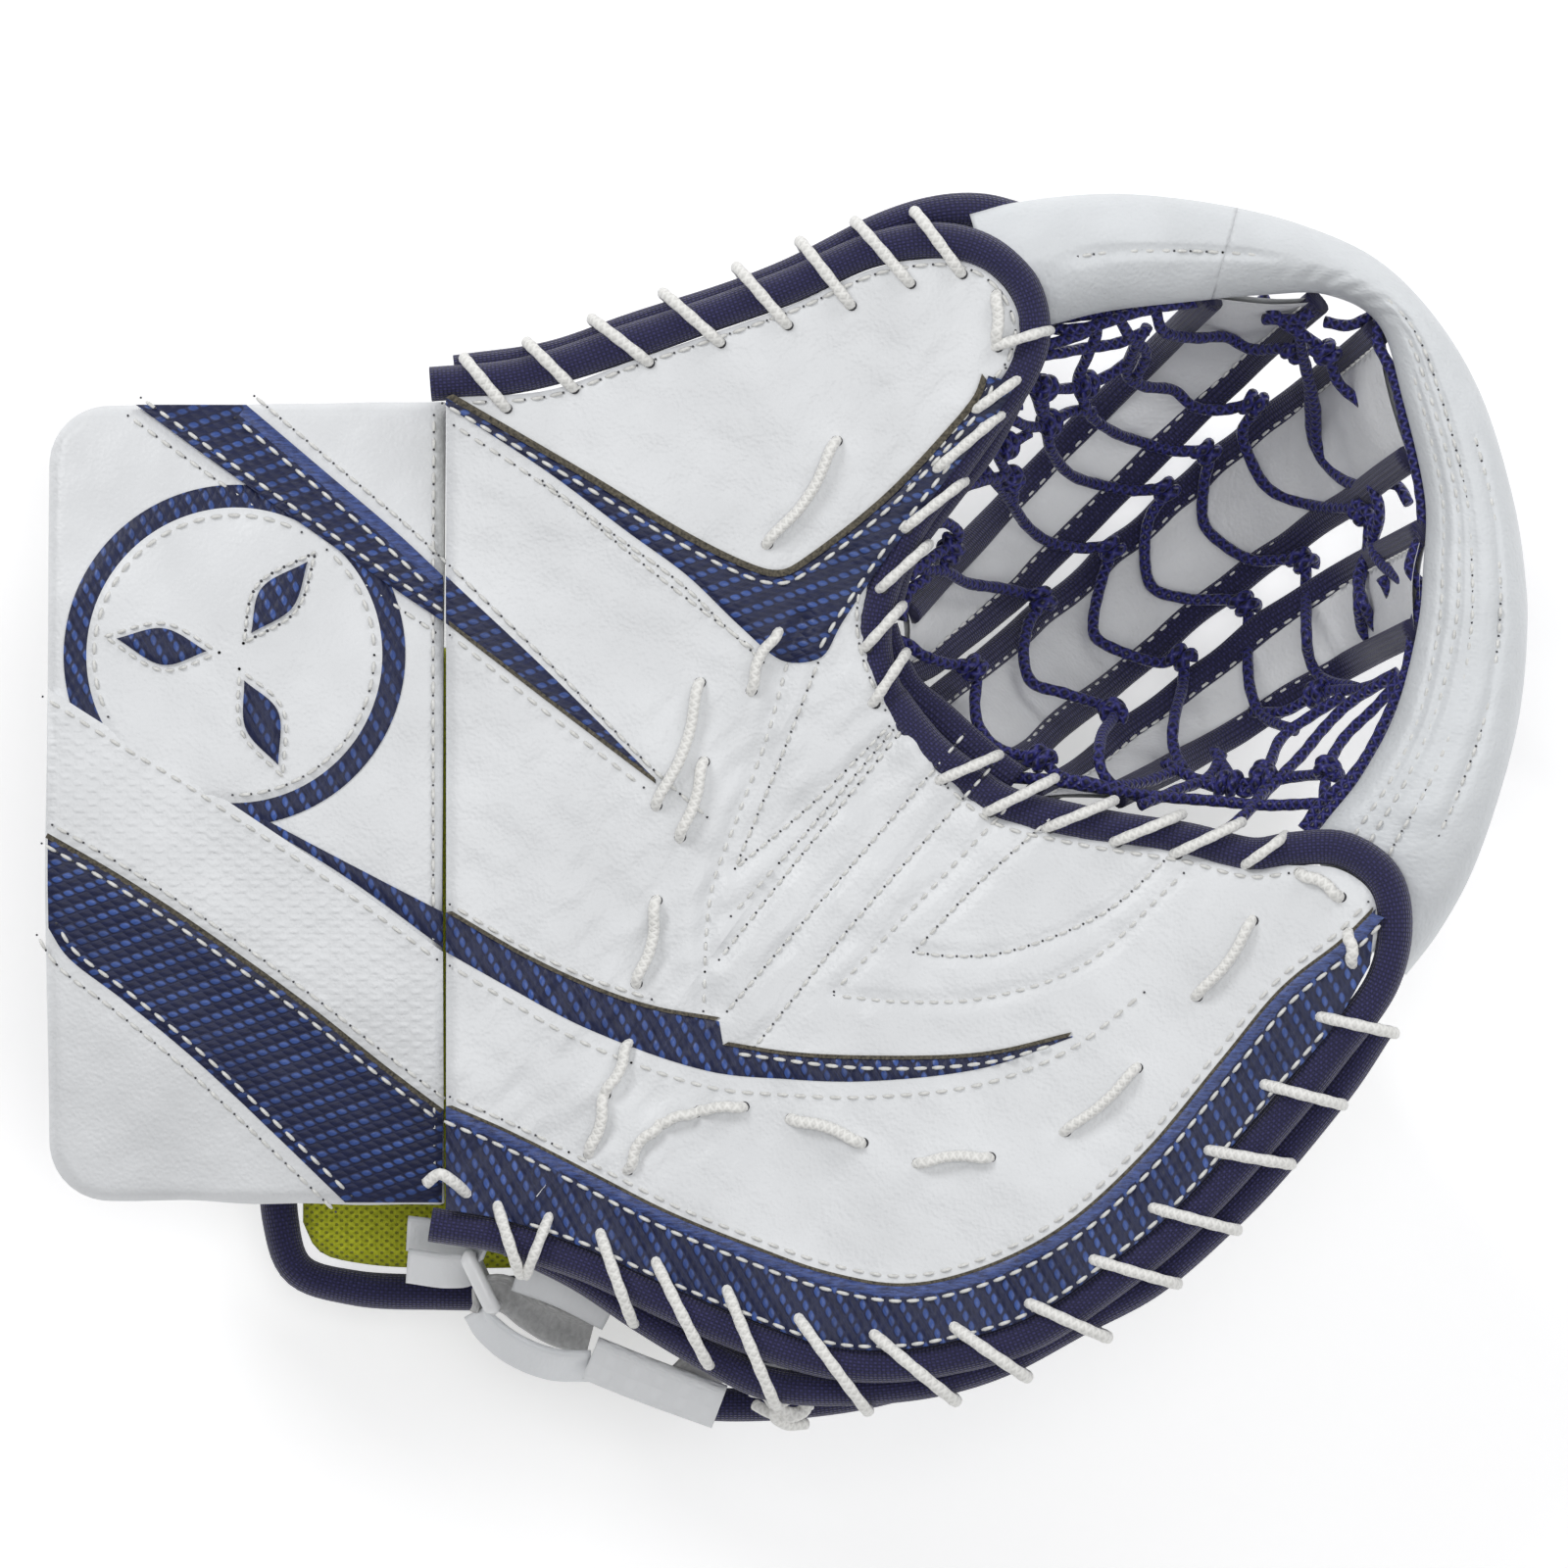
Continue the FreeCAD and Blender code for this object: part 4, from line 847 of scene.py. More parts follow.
W3_TOP = [(-86, -25), (-66, -36.5), (-50, -44), (-34, -49.5), (-17, -52.5), (-16, -58.5), (0, -61),
    (20, -62), (50, -61), (72, -56)]
W3_LOW = [(72, -56.3), (50, -64), (20, -67.5), (0, -67), (-20, -65), (-50, -54.5), (-70, -44), (-86, -35)]
w3 = ring(W3_TOP[:5], W3_TOP[4:6], W3_TOP[5:], [W3_TOP[-1], W3_LOW[0]], W3_LOW, [W3_LOW[-1], W3_TOP[0]],
    step=1.5)
both("palm_crescent_panel", w3, above(0.6), 1.4, CARBON_B, h=1.4, edge=0.4)
for run, sgn in ((W3_TOP[:5], 1.0), (W3_TOP[5:], 1.0)):
    both("palm_crescent_edge", ring(run, list(map(tuple, beside(smooth(run, 3), sgn)[::-1])), step=1.2),
        above(0.8), 1.2, RAW, h=1.0, edge=0.3)
sew([(-85, -23), (-66, -34), (-50, -41.5), (-34, -47)], face_z, 0.4)
sew([(-85, -38.5), (-70, -47.5), (-50, -58.5), (-20, -69), (0, -71), (20, -71.5), (50, -68), (72, -59),
    (90, -45)], face_z, 0.2)
sew([(-14, -60.5), (20, -64.2), (50, -62.8), (68, -58)], face_z, 1.3, holes=False)

EDGE_TOP = [(-86, -74), (-70, -81), (-50, -91), (-30, -101), (-10, -109), (10, -116), (30, -119),
    (50, -114.5), (70, -104), (90, -86), (110, -62), (125, -44), (140, -32), (148, -24)]
EDGE_LOW = [(146.5, -38), (137, -54), (124, -69), (98, -99), (80, -114), (60, -127), (40, -133), (25, -135),
    (10, -134), (-10, -127), (-30, -119), (-50, -110), (-70, -103), (-86, -100)]
edge_out = ring(EDGE_TOP, [EDGE_TOP[-1], EDGE_LOW[0]], EDGE_LOW, [EDGE_LOW[-1], EDGE_TOP[0]], step=1.6)
both("edge_panel", edge_out, above(0.7), 1.5, CARBON_B, h=1.8, edge=0.4)
both("finger_edge_strip", ring(EDGE_TOP, list(map(tuple, beside(smooth(EDGE_TOP, 3), -3.0)[::-1])),
    step=1.4), above(1.0), 1.3, BLUE_EDGE, h=1.2, edge=0.4)
both("finger_edge_raw", ring(EDGE_TOP, list(map(tuple, beside(smooth(EDGE_TOP, 3), 0.8)[::-1])), step=1.4),
    above(0.5), 1.3, RAW, h=0.9, edge=0.3)
sew(beside(smooth(EDGE_TOP, 1), -3.6), face_z, 1.3, holes=False)
sew(beside(smooth(EDGE_LOW[1:13], 1), -1.0), face_z, 1.0, holes=False)
sew(beside(smooth(EDGE_TOP, 1), 2.6), face_z, 0.2)
sew(beside(smooth(THUMB_OUTER, 1), -1.6), face_z, 0.1, dash=3.6)
sew(beside(smooth(THUMB_POCKET, 1), -2.2), face_z, 0.1)
sew(beside(smooth(FINGER_POCKET[1:], 1), -2.0), face_z, 0.1)
for line, deep, wide in QUILT:
    sew(line if len(line) > 3 else line, face_z, 0.25, dash=2.6, gap=1.1, r=0.34)

# foam and lining under the leather
put(1, slab("thumb_foam", ring(THUMB_OUTER, THUMB_POCKET, [(27, 27), HEEL_LOW], [HEEL_LOW, (-86, -98)],
    left, step=4), lambda v: palm_z(v) - 17.6, lambda v: palm_z(v) - 2.4, FOAM, h=6, edge=2, wave=0))
put(-1, slab("finger_foam", ring(FINGER_POCKET, FINGER_TIP, FINGER_OUTER, FOLD_LINE, step=4),
    lambda v: palm_z(v) - 17.6, lambda v: palm_z(v) - 2.4, FOAM, h=6, edge=2, wave=0))
put(1, slab("palm_lining", ring(THUMB_OUTER, THUMB_POCKET, [(27, 27), HEEL_LOW], [HEEL_LOW, (-86, -98)],
    left, step=4), lambda v: palm_z(v) - 22.5, lambda v: palm_z(v) - 17.2, LINING, h=5, edge=1.2, wave=0.4))
put(-1, slab("finger_lining", ring(FINGER_POCKET, FINGER_TIP, FINGER_OUTER, FOLD_LINE, step=4),
    lambda v: palm_z(v) - 22.5, lambda v: palm_z(v) - 17.2, LINING, h=5, edge=1.2, wave=0.4))


# ---------- the rolls and their laces ----------
def roll(name, pts, z, r, mat=None, step=2.0, wob=0.06, squeeze=1.0):
    line = smooth(pts, step)
    at = lay(line, z)
    out = []
    for sign, part in parts_of(at):
        out.append((sign, part))
    for k, (sign, part) in enumerate(out):
        put(sign, tube(f"{name}_{k}" if len(out) > 1 else name, part, r, mat or NYLON, sides=16,
            up=(0, 0, 1), shape=(r, r * squeeze), wob=wob))
    return at


THUMB_LINE = [(-90, 108.5), (-72, 110), (-60, 112.5), (-40, 119), (0, 133), (22, 142.5), (38, 144.8),
    (50, 142), (59.5, 134), (62.5, 122), (59, 111), (50, 98.5), (41, 86), (32, 74), (26, 62), (22.5, 50),
    (22.5, 40), (25, 31), (28.5, 26.5)]
FINGER_LINE = [(27, 28.5), (31, 23), (37, 16), (45, 9.5), (55, 2.5), (75, -2.5), (100, -6.5), (118, -10.5),
    (127, -9), (140, -9), (150, -16), (153, -28), (150, -42), (137, -60), (126, -74), (101.5, -101),
    (82.5, -117), (62, -130.5), (41, -137), (25, -139), (9, -137.5), (-12, -131), (-32, -122.5),
    (-52, -113.5), (-72, -107), (-90, -104)]
EDGE = lambda v: palm_z(v) - 4.6
LOWER = lambda v: palm_z(v) - 13.6
roll("thumb_roll", THUMB_LINE, EDGE, 4.5)
roll("thumb_rear_roll", [(-84, 112), (-60, 115.5), (-40, 122), (0, 136), (25, 148.5), (38, 152.2),
    (50, 152.8), (62, 150)], lambda v: LOWER(v) - 4.5 * np.clip((v[:, 0] - 40) / 20, 0, 1), 4.3)
roll("finger_roll", FINGER_LINE, EDGE, 4.5)
roll("finger_rear_roll", [(149, -54), (139, -69), (113, -99), (93, -117), (75, -127), (55, -137.5),
    (35, -143.5), (15, -145.5), (-5, -144), (-20, -137), (-36, -127.5), (-52, -117), (-66, -110)], LOWER,
    4.3)


def seat(p, z, dz):
    q = np.array([[p[0], p[1]]], float)
    return float(z(q)[0] + dz)


def whip(hole, outer, lower):
    """One turn of lace: out of its hole, over the roll and down behind it."""
    h, o = np.array(hole, float), np.array(outer, float)
    d = (o - h) / np.linalg.norm(o - h)
    zf = seat(h, face_z, 0)
    ze = seat(o, palm_z, 0)
    far = o + d * 0.8
    pts = [(*(h + d * -0.6), zf - 3.5), (*(h + d * 0.2), zf + 0.6), (*(h + d * 2.2), zf + 1.9),
        (*(h * 0.55 + o * 0.45), ze + 1.9), (*(h * 0.25 + o * 0.75), ze + 1.4), (*(o - d * 0.6), ze - 1.6),
        (*far, ze - 6.5), (*far, ze - lower * 0.7), (*(o - d * 2.5), ze - lower),
        (*(o - d * 8), ze - lower - 1)]
    return np.array(pts), 1 if side_of(h[None])[0] > 0 else -1


WHIPS = {1: [], -1: []}
# dark discs round each lace hole: painted shade in the holes where the lace goes in
PITS = {1: [], -1: []}


def whips(holes, outers, lower, r=1.55):
    for h, o in zip(holes, outers):
        pts, sign = whip(h, o, lower)
        line = smooth(pts, 0.9)
        n = len(line)
        r0 = r * (1 + 0.05 * np.sin(np.arange(n) * 0.9))
        WHIPS[sign].append(tube("turn", line, r, LACE, sides=10, shape=(r0, r0 * 0.86)))
        PITS[sign].append(dots("pit", np.array([[h[0], h[1], seat(h, face_z, 0.15)],
            [h[0] + 0.5, h[1] - 0.3, seat(h, face_z, 0.2)]]), 2, 1.35, HOLE, 0.1, 12))


whips([(-71, 102.5), (-54, 107.5), (-35, 114), (-17, 119), (0, 123.5), (16, 128.5), (31, 134), (44, 136.5)],
    [(-81, 114.5), (-65, 118.5), (-48.5, 124.5), (-30.5, 131), (-12, 137.5), (4, 144), (18, 149),
    (33, 151.5)], 18)
whips([(53, 118), (48, 102), (38, 87), (30, 72), (24, 57), (20, 42), (22, 28)],
    [(66, 122), (59, 110), (54.5, 101), (44.5, 83.5), (35.5, 67.5), (29, 52), (30, 40)], 9)
whips([(134, -51), (120, -68), (106, -84.5), (92, -99), (77, -112), (61, -123), (42, -129), (22, -131),
    (3, -127), (-15, -120), (-33, -113), (-47, -106)], [(152, -55), (139, -73), (126, -88), (112.5, -104.5),
    (97.5, -118), (80, -131.5), (60, -141.5), (42, -147.5), (20, -150), (-3, -148.5), (-20, -138.5),
    (-39, -128)], 20)
whips([(39, 8.5), (51, 0.5), (66, -3.5), (83, -7), (98, -10), (116, -12.5)],
    [(53, 14.5), (67, 8.5), (82, 3), (99, -0.5), (114, -2.5), (125, -6)], 9)
whips([(-73, -99), (-60, -102)], [(-67.5, -116), (-65.5, -116)], 10)


def stitch(a, b, sag=0.0):
    """One lace stitch lying on the face between two holes."""
    a, b = np.array(a, float), np.array(b, float)
    d = (b - a) / np.linalg.norm(b - a)
    side = np.array([-d[1], d[0]])
    rows = [(a - d * 0.5, -4.5), (a, -0.2), (a + d * 2.0, 1.7)]
    for t in (0.35, 0.5, 0.65):
        rows.append((a + (b - a) * t + side * sag * math.sin(math.pi * t), 1.95))
    rows += [(b - d * 2.0, 1.7), (b, -0.2), (b + d * 0.5, -4.5)]
    line = smooth([(*p, seat(p, face_z, 0) + dz) for p, dz in rows], 0.9)
    sign = 1 if side_of(((a + b) / 2)[None])[0] > 0 else -1
    WHIPS[sign].append(tube("stitch", line, 1.6, LACE, sides=10, shape=(1.65, 1.35)))
    # dark discs at both holes: painted shade where the lace goes in
    for p in (a, b):
        PITS[sign].append(dots("pit", np.array([[p[0], p[1], seat(p, face_z, 0.15)],
            [p[0] + 0.4, p[1], seat(p, face_z, 0.2)]]), 2, 1.35, HOLE, 0.1, 12))


for a, b, sag in (((12.5, 94), (-5, 68), 2), ((-2, 46), (-9, 31), -1.5), ((-22, 33), (-33, 2), 2),
    ((-21, 13), (-27, -6), 1), ((-33, -22), (-38, -43), 1.5), ((-40, -58), (-46, -71), 1),
    ((-46, -71), (-50, -86), 1), ((-40, -90), (-32, -78.5), 1.5), ((-32, -78.5), (-23, -75.5), 0.5),
    ((-22, -75), (-11, -74), 0.5), ((1, -77), (19, -83), 1), ((33, -88), (51, -86.5), 1),
    ((70, -80), (88, -64), -1), ((103, -46), (117, -27), -1.2), ((129, -15), (139, -21), 1),
    ((141, -30), (142, -38), 0.5), ((53, 131), (53, 119), 0.5)):
    stitch(a, b, sag)


# ---------- the cuff ----------
def cuff_outline():
    def wavy(a, b, n, amp, seed):
        t = np.linspace(0, 1, n)
        p = np.array(a) * (1 - t[:, None]) + np.array(b) * t[:, None]
        d = np.array([b[1] - a[1], a[0] - b[0]], float)
        d /= np.linalg.norm(d)
        w = noise(t * 90, t * 0, 40, seed) * amp * np.sin(math.pi * t)
        return p + d * w[:, None]
    r = 15.0
    low = wavy((-172, -98.5), (-87, -99.5), 40, 0.7, 1)
    right = wavy((-87, -99.5), (-86.6, 104.5), 90, 0.4, 2)
    top = wavy((-86.6, 104.5), (-172, 103.5), 40, 0.7, 3)
    corner1 = [(-172 + -r * math.sin(a), 103.5 - r + r * math.cos(a)) for a in np.linspace(0.15, 1.5, 8)]
    left_side = wavy((-187, 88), (-187, -83), 80, 0.6, 4)
    corner2 = [(-172 - r * math.cos(a), -98.5 + r - r * math.sin(a)) for a in np.linspace(0.1, 1.45, 8)]
    return spaced(np.vstack([low, right, top, corner1, left_side, corner2, low[:1]]), 1.5)[:-1]


CUFF = cuff_outline()


def cuff_face(v):
    return cuff_z(v) + 0.5 * noise(v[:, 0], v[:, 1], 42, 21) + 0.18 * noise(v[:, 0], v[:, 1], 12, 22)


def on_cuff(k):
    return lambda v: cuff_face(v) + k


def disc_z(k):
    return lambda v: cuff_face(v) + k + 0.9 * np.clip(1 - np.linalg.norm(v - cc, axis=1) / 40, 0, 1)


CUFF_PARTS = []
CUFF_PARTS.append(panel("cuff_leather", CUFF, on_cuff(0), 3.4, WHITE, h=2.0, edge=3.0))
BAND_TOP = smooth([(-186.5, 31.5), (-170, 21), (-150, 9), (-138, 1), (-110, -18), (-86.8, -35)], 1.5)
BAND_LOW = smooth([(-186.5, -5), (-170, -14.5), (-155, -24), (-137, -36.5), (-120, -49), (-100, -65),
    (-86.8, -75)], 1.5)
band = np.vstack([BAND_TOP, BAND_LOW[::-1]])
lower_edge = smooth([(-186.5, -29), (-182, -36), (-168, -47), (-150, -62), (-130, -81), (-112, -98.8)], 1.5)
right_low = smooth([(-87.4, -98.8), (-87.2, -88), (-87, -75)], 1.5)
left_low = smooth([(-186.5, -5), (-186.6, -16), (-186.5, -29)], 1.5)
stripe = np.vstack([BAND_LOW, right_low[::-1], lower_edge[::-1], left_low[::-1]])
CUFF_PARTS.append(panel("cuff_lower_stripe", stripe, on_cuff(0.8), 1.4, CARBON, h=1.8, edge=0.5))
CUFF_PARTS.append(panel("cuff_lower_stripe_raw", np.vstack([BAND_LOW, beside(BAND_LOW, -1.3)[::-1]]),
    on_cuff(1.0), 1.2, RAW, h=1.0, edge=0.3))
CUFF_PARTS.append(panel("cuff_lower_band", band, on_cuff(1.9), 1.7, WHITE_WEAVE, h=1.8, edge=0.8))
wedge = np.vstack([smooth([(-138, 1.8), (-110, -13), (-86.8, -25)], 1.5),
    smooth([(-86.8, -34), (-110, -17), (-138, 0.5)], 1.5)])
CUFF_PARTS.append(panel("cuff_wedge", wedge, on_cuff(1.0), 1.5, CARBON_B, h=1.4, edge=0.4))
UP_TOP = smooth([(-137, 103.6), (-118, 87.5), (-98, 70.5), (-86.8, 60)], 1.5)
UP_LOW = smooth([(-165, 103.6), (-145, 89), (-128, 77), (-98, 56), (-86.8, 48.5)], 1.5)
upper = np.vstack([UP_TOP, UP_LOW[::-1]])
CUFF_PARTS.append(panel("cuff_upper_stripe", upper, on_cuff(2.2), 1.7, CARBON, h=1.8, edge=0.5))
CUFF_PARTS.append(panel("cuff_upper_strip", np.vstack([UP_TOP, beside(UP_TOP, -3.4)[::-1]]), on_cuff(2.5),
    1.6, BLUE_EDGE, h=1.2, edge=0.4))
cc = np.array([-139.5, 40.0])
ang = np.linspace(0, 2 * math.pi, 180, endpoint=False)
disc = cc + 37.4 * np.stack([np.cos(ang), np.sin(ang)], 1)
big = cc + 43.2 * np.stack([np.cos(ang), np.sin(ang)], 1)
CUFF_PARTS.append(panel("emblem_ring", big, on_cuff(0.8), 1.4, CARBON_B, h=1.6, edge=0.5))
CUFF_PARTS.append(panel("emblem_disc", disc, disc_z(1.6), 1.4, WHITE, h=1.6, edge=0.8))


def petal(turn, start=7.0, reach=30.0, wide=10.0):
    """One of the plain leaf shapes round the middle of the emblem."""
    a = math.radians(turn)
    u, w = np.array([math.cos(a), math.sin(a)]), np.array([-math.sin(a), math.cos(a)])
    pts = [cc + u * start, cc + u * (start + (reach - start) * 0.45) + w * wide * 0.5, cc + u * reach]
    low = [cc + u * reach, cc + u * (start + (reach - start) * 0.5) - w * wide * 0.42, cc + u * start]
    out = ring([tuple(p) for p in pts], [tuple(p) for p in low], step=1.0)
    CUFF_PARTS.append(panel("emblem_petal", out, disc_z(2.9), 1.6, CARBON_B, h=1.2, edge=0.6))
    c = out.mean(0)
    return c + (out - c) * 1.28


petals = [petal(t) for t in (52, 172, 292)]
for k, p in enumerate(petals):
    ring_line = np.vstack([p, p[:1]])
    CUFF_PARTS.append(stitched(f"emblem_petal_seam_{k}", lay(ring_line, disc_z(1.9)), THREAD, 2.4, 1.0, 0.36))
    CUFF_PARTS.append(dots(f"emblem_petal_holes_{k}", lay(ring_line, disc_z(1.75)), 3.4, 0.42))


def cuff_seam(line, dz, dash=3.2, gap=1.3, r=0.4):
    line = smooth(line, 1.0) if not isinstance(line, np.ndarray) else line
    at = lay(line, cuff_face, dz)
    CUFF_PARTS.append(stitched("cuff_sewn", at, THREAD, dash, gap, r))
    CUFF_PARTS.append(dots("cuff_holes", at, dash + gap, 0.33, HOLE, 0.12))


circle = lambda r: cc + r * np.stack([np.cos(np.linspace(0, 2 * math.pi, 200)),
    np.sin(np.linspace(0, 2 * math.pi, 200))], 1)
round_seam = circle(35.4)
below = round_seam[:, 1] < np.interp(round_seam[:, 0], UP_LOW[:, 0], UP_LOW[:, 1]) - 2
above_band = round_seam[:, 1] > np.interp(round_seam[:, 0], BAND_TOP[:, 0], BAND_TOP[:, 1]) + 2
run = []
for p, shows in zip(round_seam, below & above_band):
    if shows:
        run.append(p)
        continue
    if len(run) > 4:
        cuff_seam(np.array(run), 2.0)
    run = []
if len(run) > 4:
    cuff_seam(np.array(run), 2.0)
cuff_seam(beside(UP_TOP, -4.4), 2.6)
cuff_seam(beside(UP_LOW, 2.2), 2.4)
cuff_seam(beside(UP_LOW, -3.4), 0.2)
cuff_seam(beside(UP_TOP, 3.0), 0.2)
cuff_seam(beside(BAND_TOP, -2.4), 2.1)
cuff_seam(beside(BAND_LOW, 2.4), 2.1)
cuff_seam(beside(BAND_LOW, -3.0), 1.2)
cuff_seam(beside(lower_edge, 2.4), 1.2)
cuff_seam(beside(lower_edge, -3.4), 0.2)
cuff_seam(smooth([(-89.2, -96), (-89.2, 0), (-89.4, 101)], 1.0), 0.2)

board = slab("cuff_padding", CUFF, lambda v: cuff_z(v) - 13.2, lambda v: cuff_z(v) - 2.0, WHITE_SOFT, h=5,
    edge=4.5, wave=0.5)
lining = slab("cuff_lining", cuff_outline() * 0.965 + np.array([-4.7, 0.1]), lambda v: cuff_z(v) - 16.0,
    lambda v: cuff_z(v) - 13.0, LINING, h=5, edge=1.2, wave=0.3)
CUFF_PARTS += [board, lining]
for side, tag in ((1, "thumb"), (-1, "finger")):
    y0 = 2.5 + side * 95.5
    p = [(-176, 74), (-92, 74), (-92, 37), (-158, 37), (-171, 41.5), (-176, 54)]
    out = ring([p[0], p[1]], [p[1], p[2]], [p[2], p[3]], p[3:6], [p[5], p[0]], step=3)
    o = slab(f"cuff_wall_{tag}", out, -5.2, 5.2, WHITE_WEAVE, h=4, edge=4.2, wave=0.5)
    co = np.zeros(len(o.data.vertices) * 3)
    o.data.vertices.foreach_get("co", co)
    co = co.reshape(-1, 3)
    new = np.stack([co[:, 0], co[:, 2] * side + y0 * MM, co[:, 1]], 1)
    o.data.vertices.foreach_set("co", new.ravel())
    if side > 0:
        o.data.flip_normals()
    o.data.update()
    CUFF_PARTS.append(o)
    trim = smooth([(-91, 37.5), (-158, 36.8), (-171.8, 41.2), (-176.6, 54), (-176.4, 74)], 2)
    CUFF_PARTS.append(tube(f"cuff_{tag}_wall_roll", np.column_stack([trim[:, 0], np.full(len(trim), y0),
        trim[:, 1]]), 3.2, NYLON, sides=12, shape=(5.4, 2.2)))
on("cuff", *CUFF_PARTS)


# ---------- the rim ----------
RIM_PAIRS = [((46, 153), (56, 122), 89), ((68, 156.3), (67, 124), 90.5), ((87, 157), (82, 127.5), 91.5),
    ((110, 154.3), (104, 130), 92.5), ((131, 149), (121, 131.5), 93.5), ((150, 140), (137, 131.5), 95),
    ((165, 124.5), (150, 124), 98), ((176, 105), (156, 105), 101), ((183.5, 80), (161.5, 80), 103.5),
    ((186.6, 60), (161, 62), 105), ((187, 45), (159.5, 47), 106.5), ((185, 25), (154, 26), 108),
    ((180, 5), (145, 9), 108.5), ((173, -15), (134, -6), 106), ((165, -30), (136, -16), 101),
    ((157, -41), (136, -26), 95)]


def rim():
    dense = []
    for pts in ([p for p, q, z in RIM_PAIRS], [q for p, q, z in RIM_PAIRS],
        [(z, 0) for p, q, z in RIM_PAIRS]):
        base = np.array(pts, float)
        fine = np.linspace(0, len(base) - 1, 240)
        ext = np.vstack([2 * base[0] - base[1], base, 2 * base[-1] - base[-2]])
        i = np.minimum(fine.astype(int), len(base) - 2)
        t = (fine - i)[:, None]
        a, b, c, d = ext[i], ext[i + 1], ext[i + 2], ext[i + 3]
        square = (2 * a - 5 * b + 4 * c - d) * t ** 2
        cube = (3 * b - a - 3 * c + d) * t ** 3
        dense.append(0.5 * (2 * b + (c - a) * t + square + cube))
    o, q, z = dense[0], dense[1], dense[2][:, 0]
    mid = (o + q) / 2
    n = len(mid)
    half = np.linalg.norm(o - q, axis=1) / 2
    across = (q - o) / (2 * half)[:, None]
    run = np.concatenate([[0], np.cumsum(np.linalg.norm(np.diff(mid, axis=0), axis=1))])
    sides = 84
    ang = np.linspace(0, 2 * math.pi, sides, endpoint=False)
    power = 2.25
    ca = np.sign(np.cos(ang)) * np.abs(np.cos(ang)) ** (2 / power)
    sa = np.sign(np.sin(ang)) * np.abs(np.sin(ang)) ** (2 / power)
    S, K = np.meshgrid(run, ang, indexing="ij")
    CA, SA = np.broadcast_to(ca, S.shape), np.broadcast_to(sa, S.shape)
    top = np.clip(SA, 0, 1)
    dz = 0.55 * noise(S, K * 14, 40, 31) + 0.3 * noise(S, K * 16, 12, 32)
    s0 = run / run[-1]
    S0 = np.broadcast_to(s0[:, None], S.shape)
    lanes = [(0.62, 0.44, 0.97), (0.36, 0.40, 0.97), (0.08, 0.36, 0.97), (-0.42, 0.50, 0.90)]
    for f, a, b in lanes:
        w = np.clip((S0 - a) * 30, 0, 1) * np.clip((b - S0) * 30, 0, 1)
        wander = f + 0.03 * np.sin(S / 21 + f * 9)
        dz = dz - 1.3 * w * np.exp(-((CA - wander) / 0.075) ** 2) * (top > 0)
    w = np.clip((S0 - 0.06) * 30, 0, 1) * np.clip((0.29 - S0) * 20, 0, 1)
    dz = dz - 1.4 * w * np.exp(-((CA - 0.02) / 0.09) ** 2) * (top > 0)
    gather = np.exp(-((S0 - 0.34) / 0.07) ** 2) * np.clip(CA + 0.25, 0, 1.2)
    dz = dz + 0.9 * gather * np.sin(S * 0.95 + 1.4 * np.sin(K * 2.2)) + 0.5 * gather * noise(S * 2, K * 20,
        9, 33)
    ry = 11.5
    X = mid[:, None, 0] + across[:, None, 0] * CA * half[:, None]
    Y = mid[:, None, 1] + across[:, None, 1] * CA * half[:, None]
    Z = z[:, None] + SA * ry - np.clip(CA, 0, 1) * 4.0 * (SA > -2) + dz * top
    girth = 2 * math.pi * 13
    V = np.stack([X, Y, Z], 2)
    UVU = np.broadcast_to(run[:, None], S.shape)
    UVV = np.broadcast_to(ang / (2 * math.pi) * girth, S.shape)
    side = (mid - CROTCH) @ NOR
    cut = int(np.argmax(side < 0))
    for sign, rows, name in ((1, range(0, cut + 1), "rim_thumb_side"),
        (-1, range(cut, n), "rim_finger_side")):
        rows = list(rows)
        v = V[rows].reshape(-1, 3)
        uv = np.stack([UVU[rows].ravel(), UVV[rows].ravel()], 1)
        faces = []
        for i in range(len(rows) - 1):
            for j in range(sides):
                j2 = (j + 1) % sides
                faces.append([i * sides + j, (i + 1) * sides + j, (i + 1) * sides + j2, i * sides + j2])
        faces.append([j for j in range(sides)])
        faces.append([(len(rows) - 1) * sides + j for j in range(sides)][::-1])
        ob = obj_from(name, v, faces, uv, RIM_WHITE)
        put(sign, ob)
    # stitches along the channels
    for f, a, b in lanes + [(0.02, 0.07, 0.28)]:
        idx = [i for i in range(n) if a + 0.01 < s0[i] < b - 0.01]
        line = []
        for i in idx:
            ff = f if a < 0.2 else f + 0.03 * math.sin(run[i] / 21 + f * 9)
            sn = (1 - abs(ff) ** power) ** (1 / power)
            line.append([*(mid[i] + across[i] * ff * half[i]), z[i] + sn * ry - max(ff, 0) * 4.0 - 1.1])
        line = spaced(np.array(line), 1.0)
        for sgn, part in parts_of(line):
            SEWN[sgn].append(stitched("sewn", part, THREAD, 2.8, 1.2, 0.38))
            HOLES[sgn].append(dots("holes", part, 4.0, 0.33, HOLE, 0.12))


rim()


# ---------- the pocket ----------
STRAP_STARTS = [(35, 45), (46, 21), (82, 6)]
STRAP_ENDS = [(127, 127), (155, 107), (166, 53)]
STRAP_LOWS = [15.0, 9.0, 18.0]
STARTS_Z = [78, 80, 82]
ENDS_Z = [75, 81, 88]
STEPS = np.array([0.0, 0.16, 0.32, 0.52, 0.72, 0.88, 1.0])


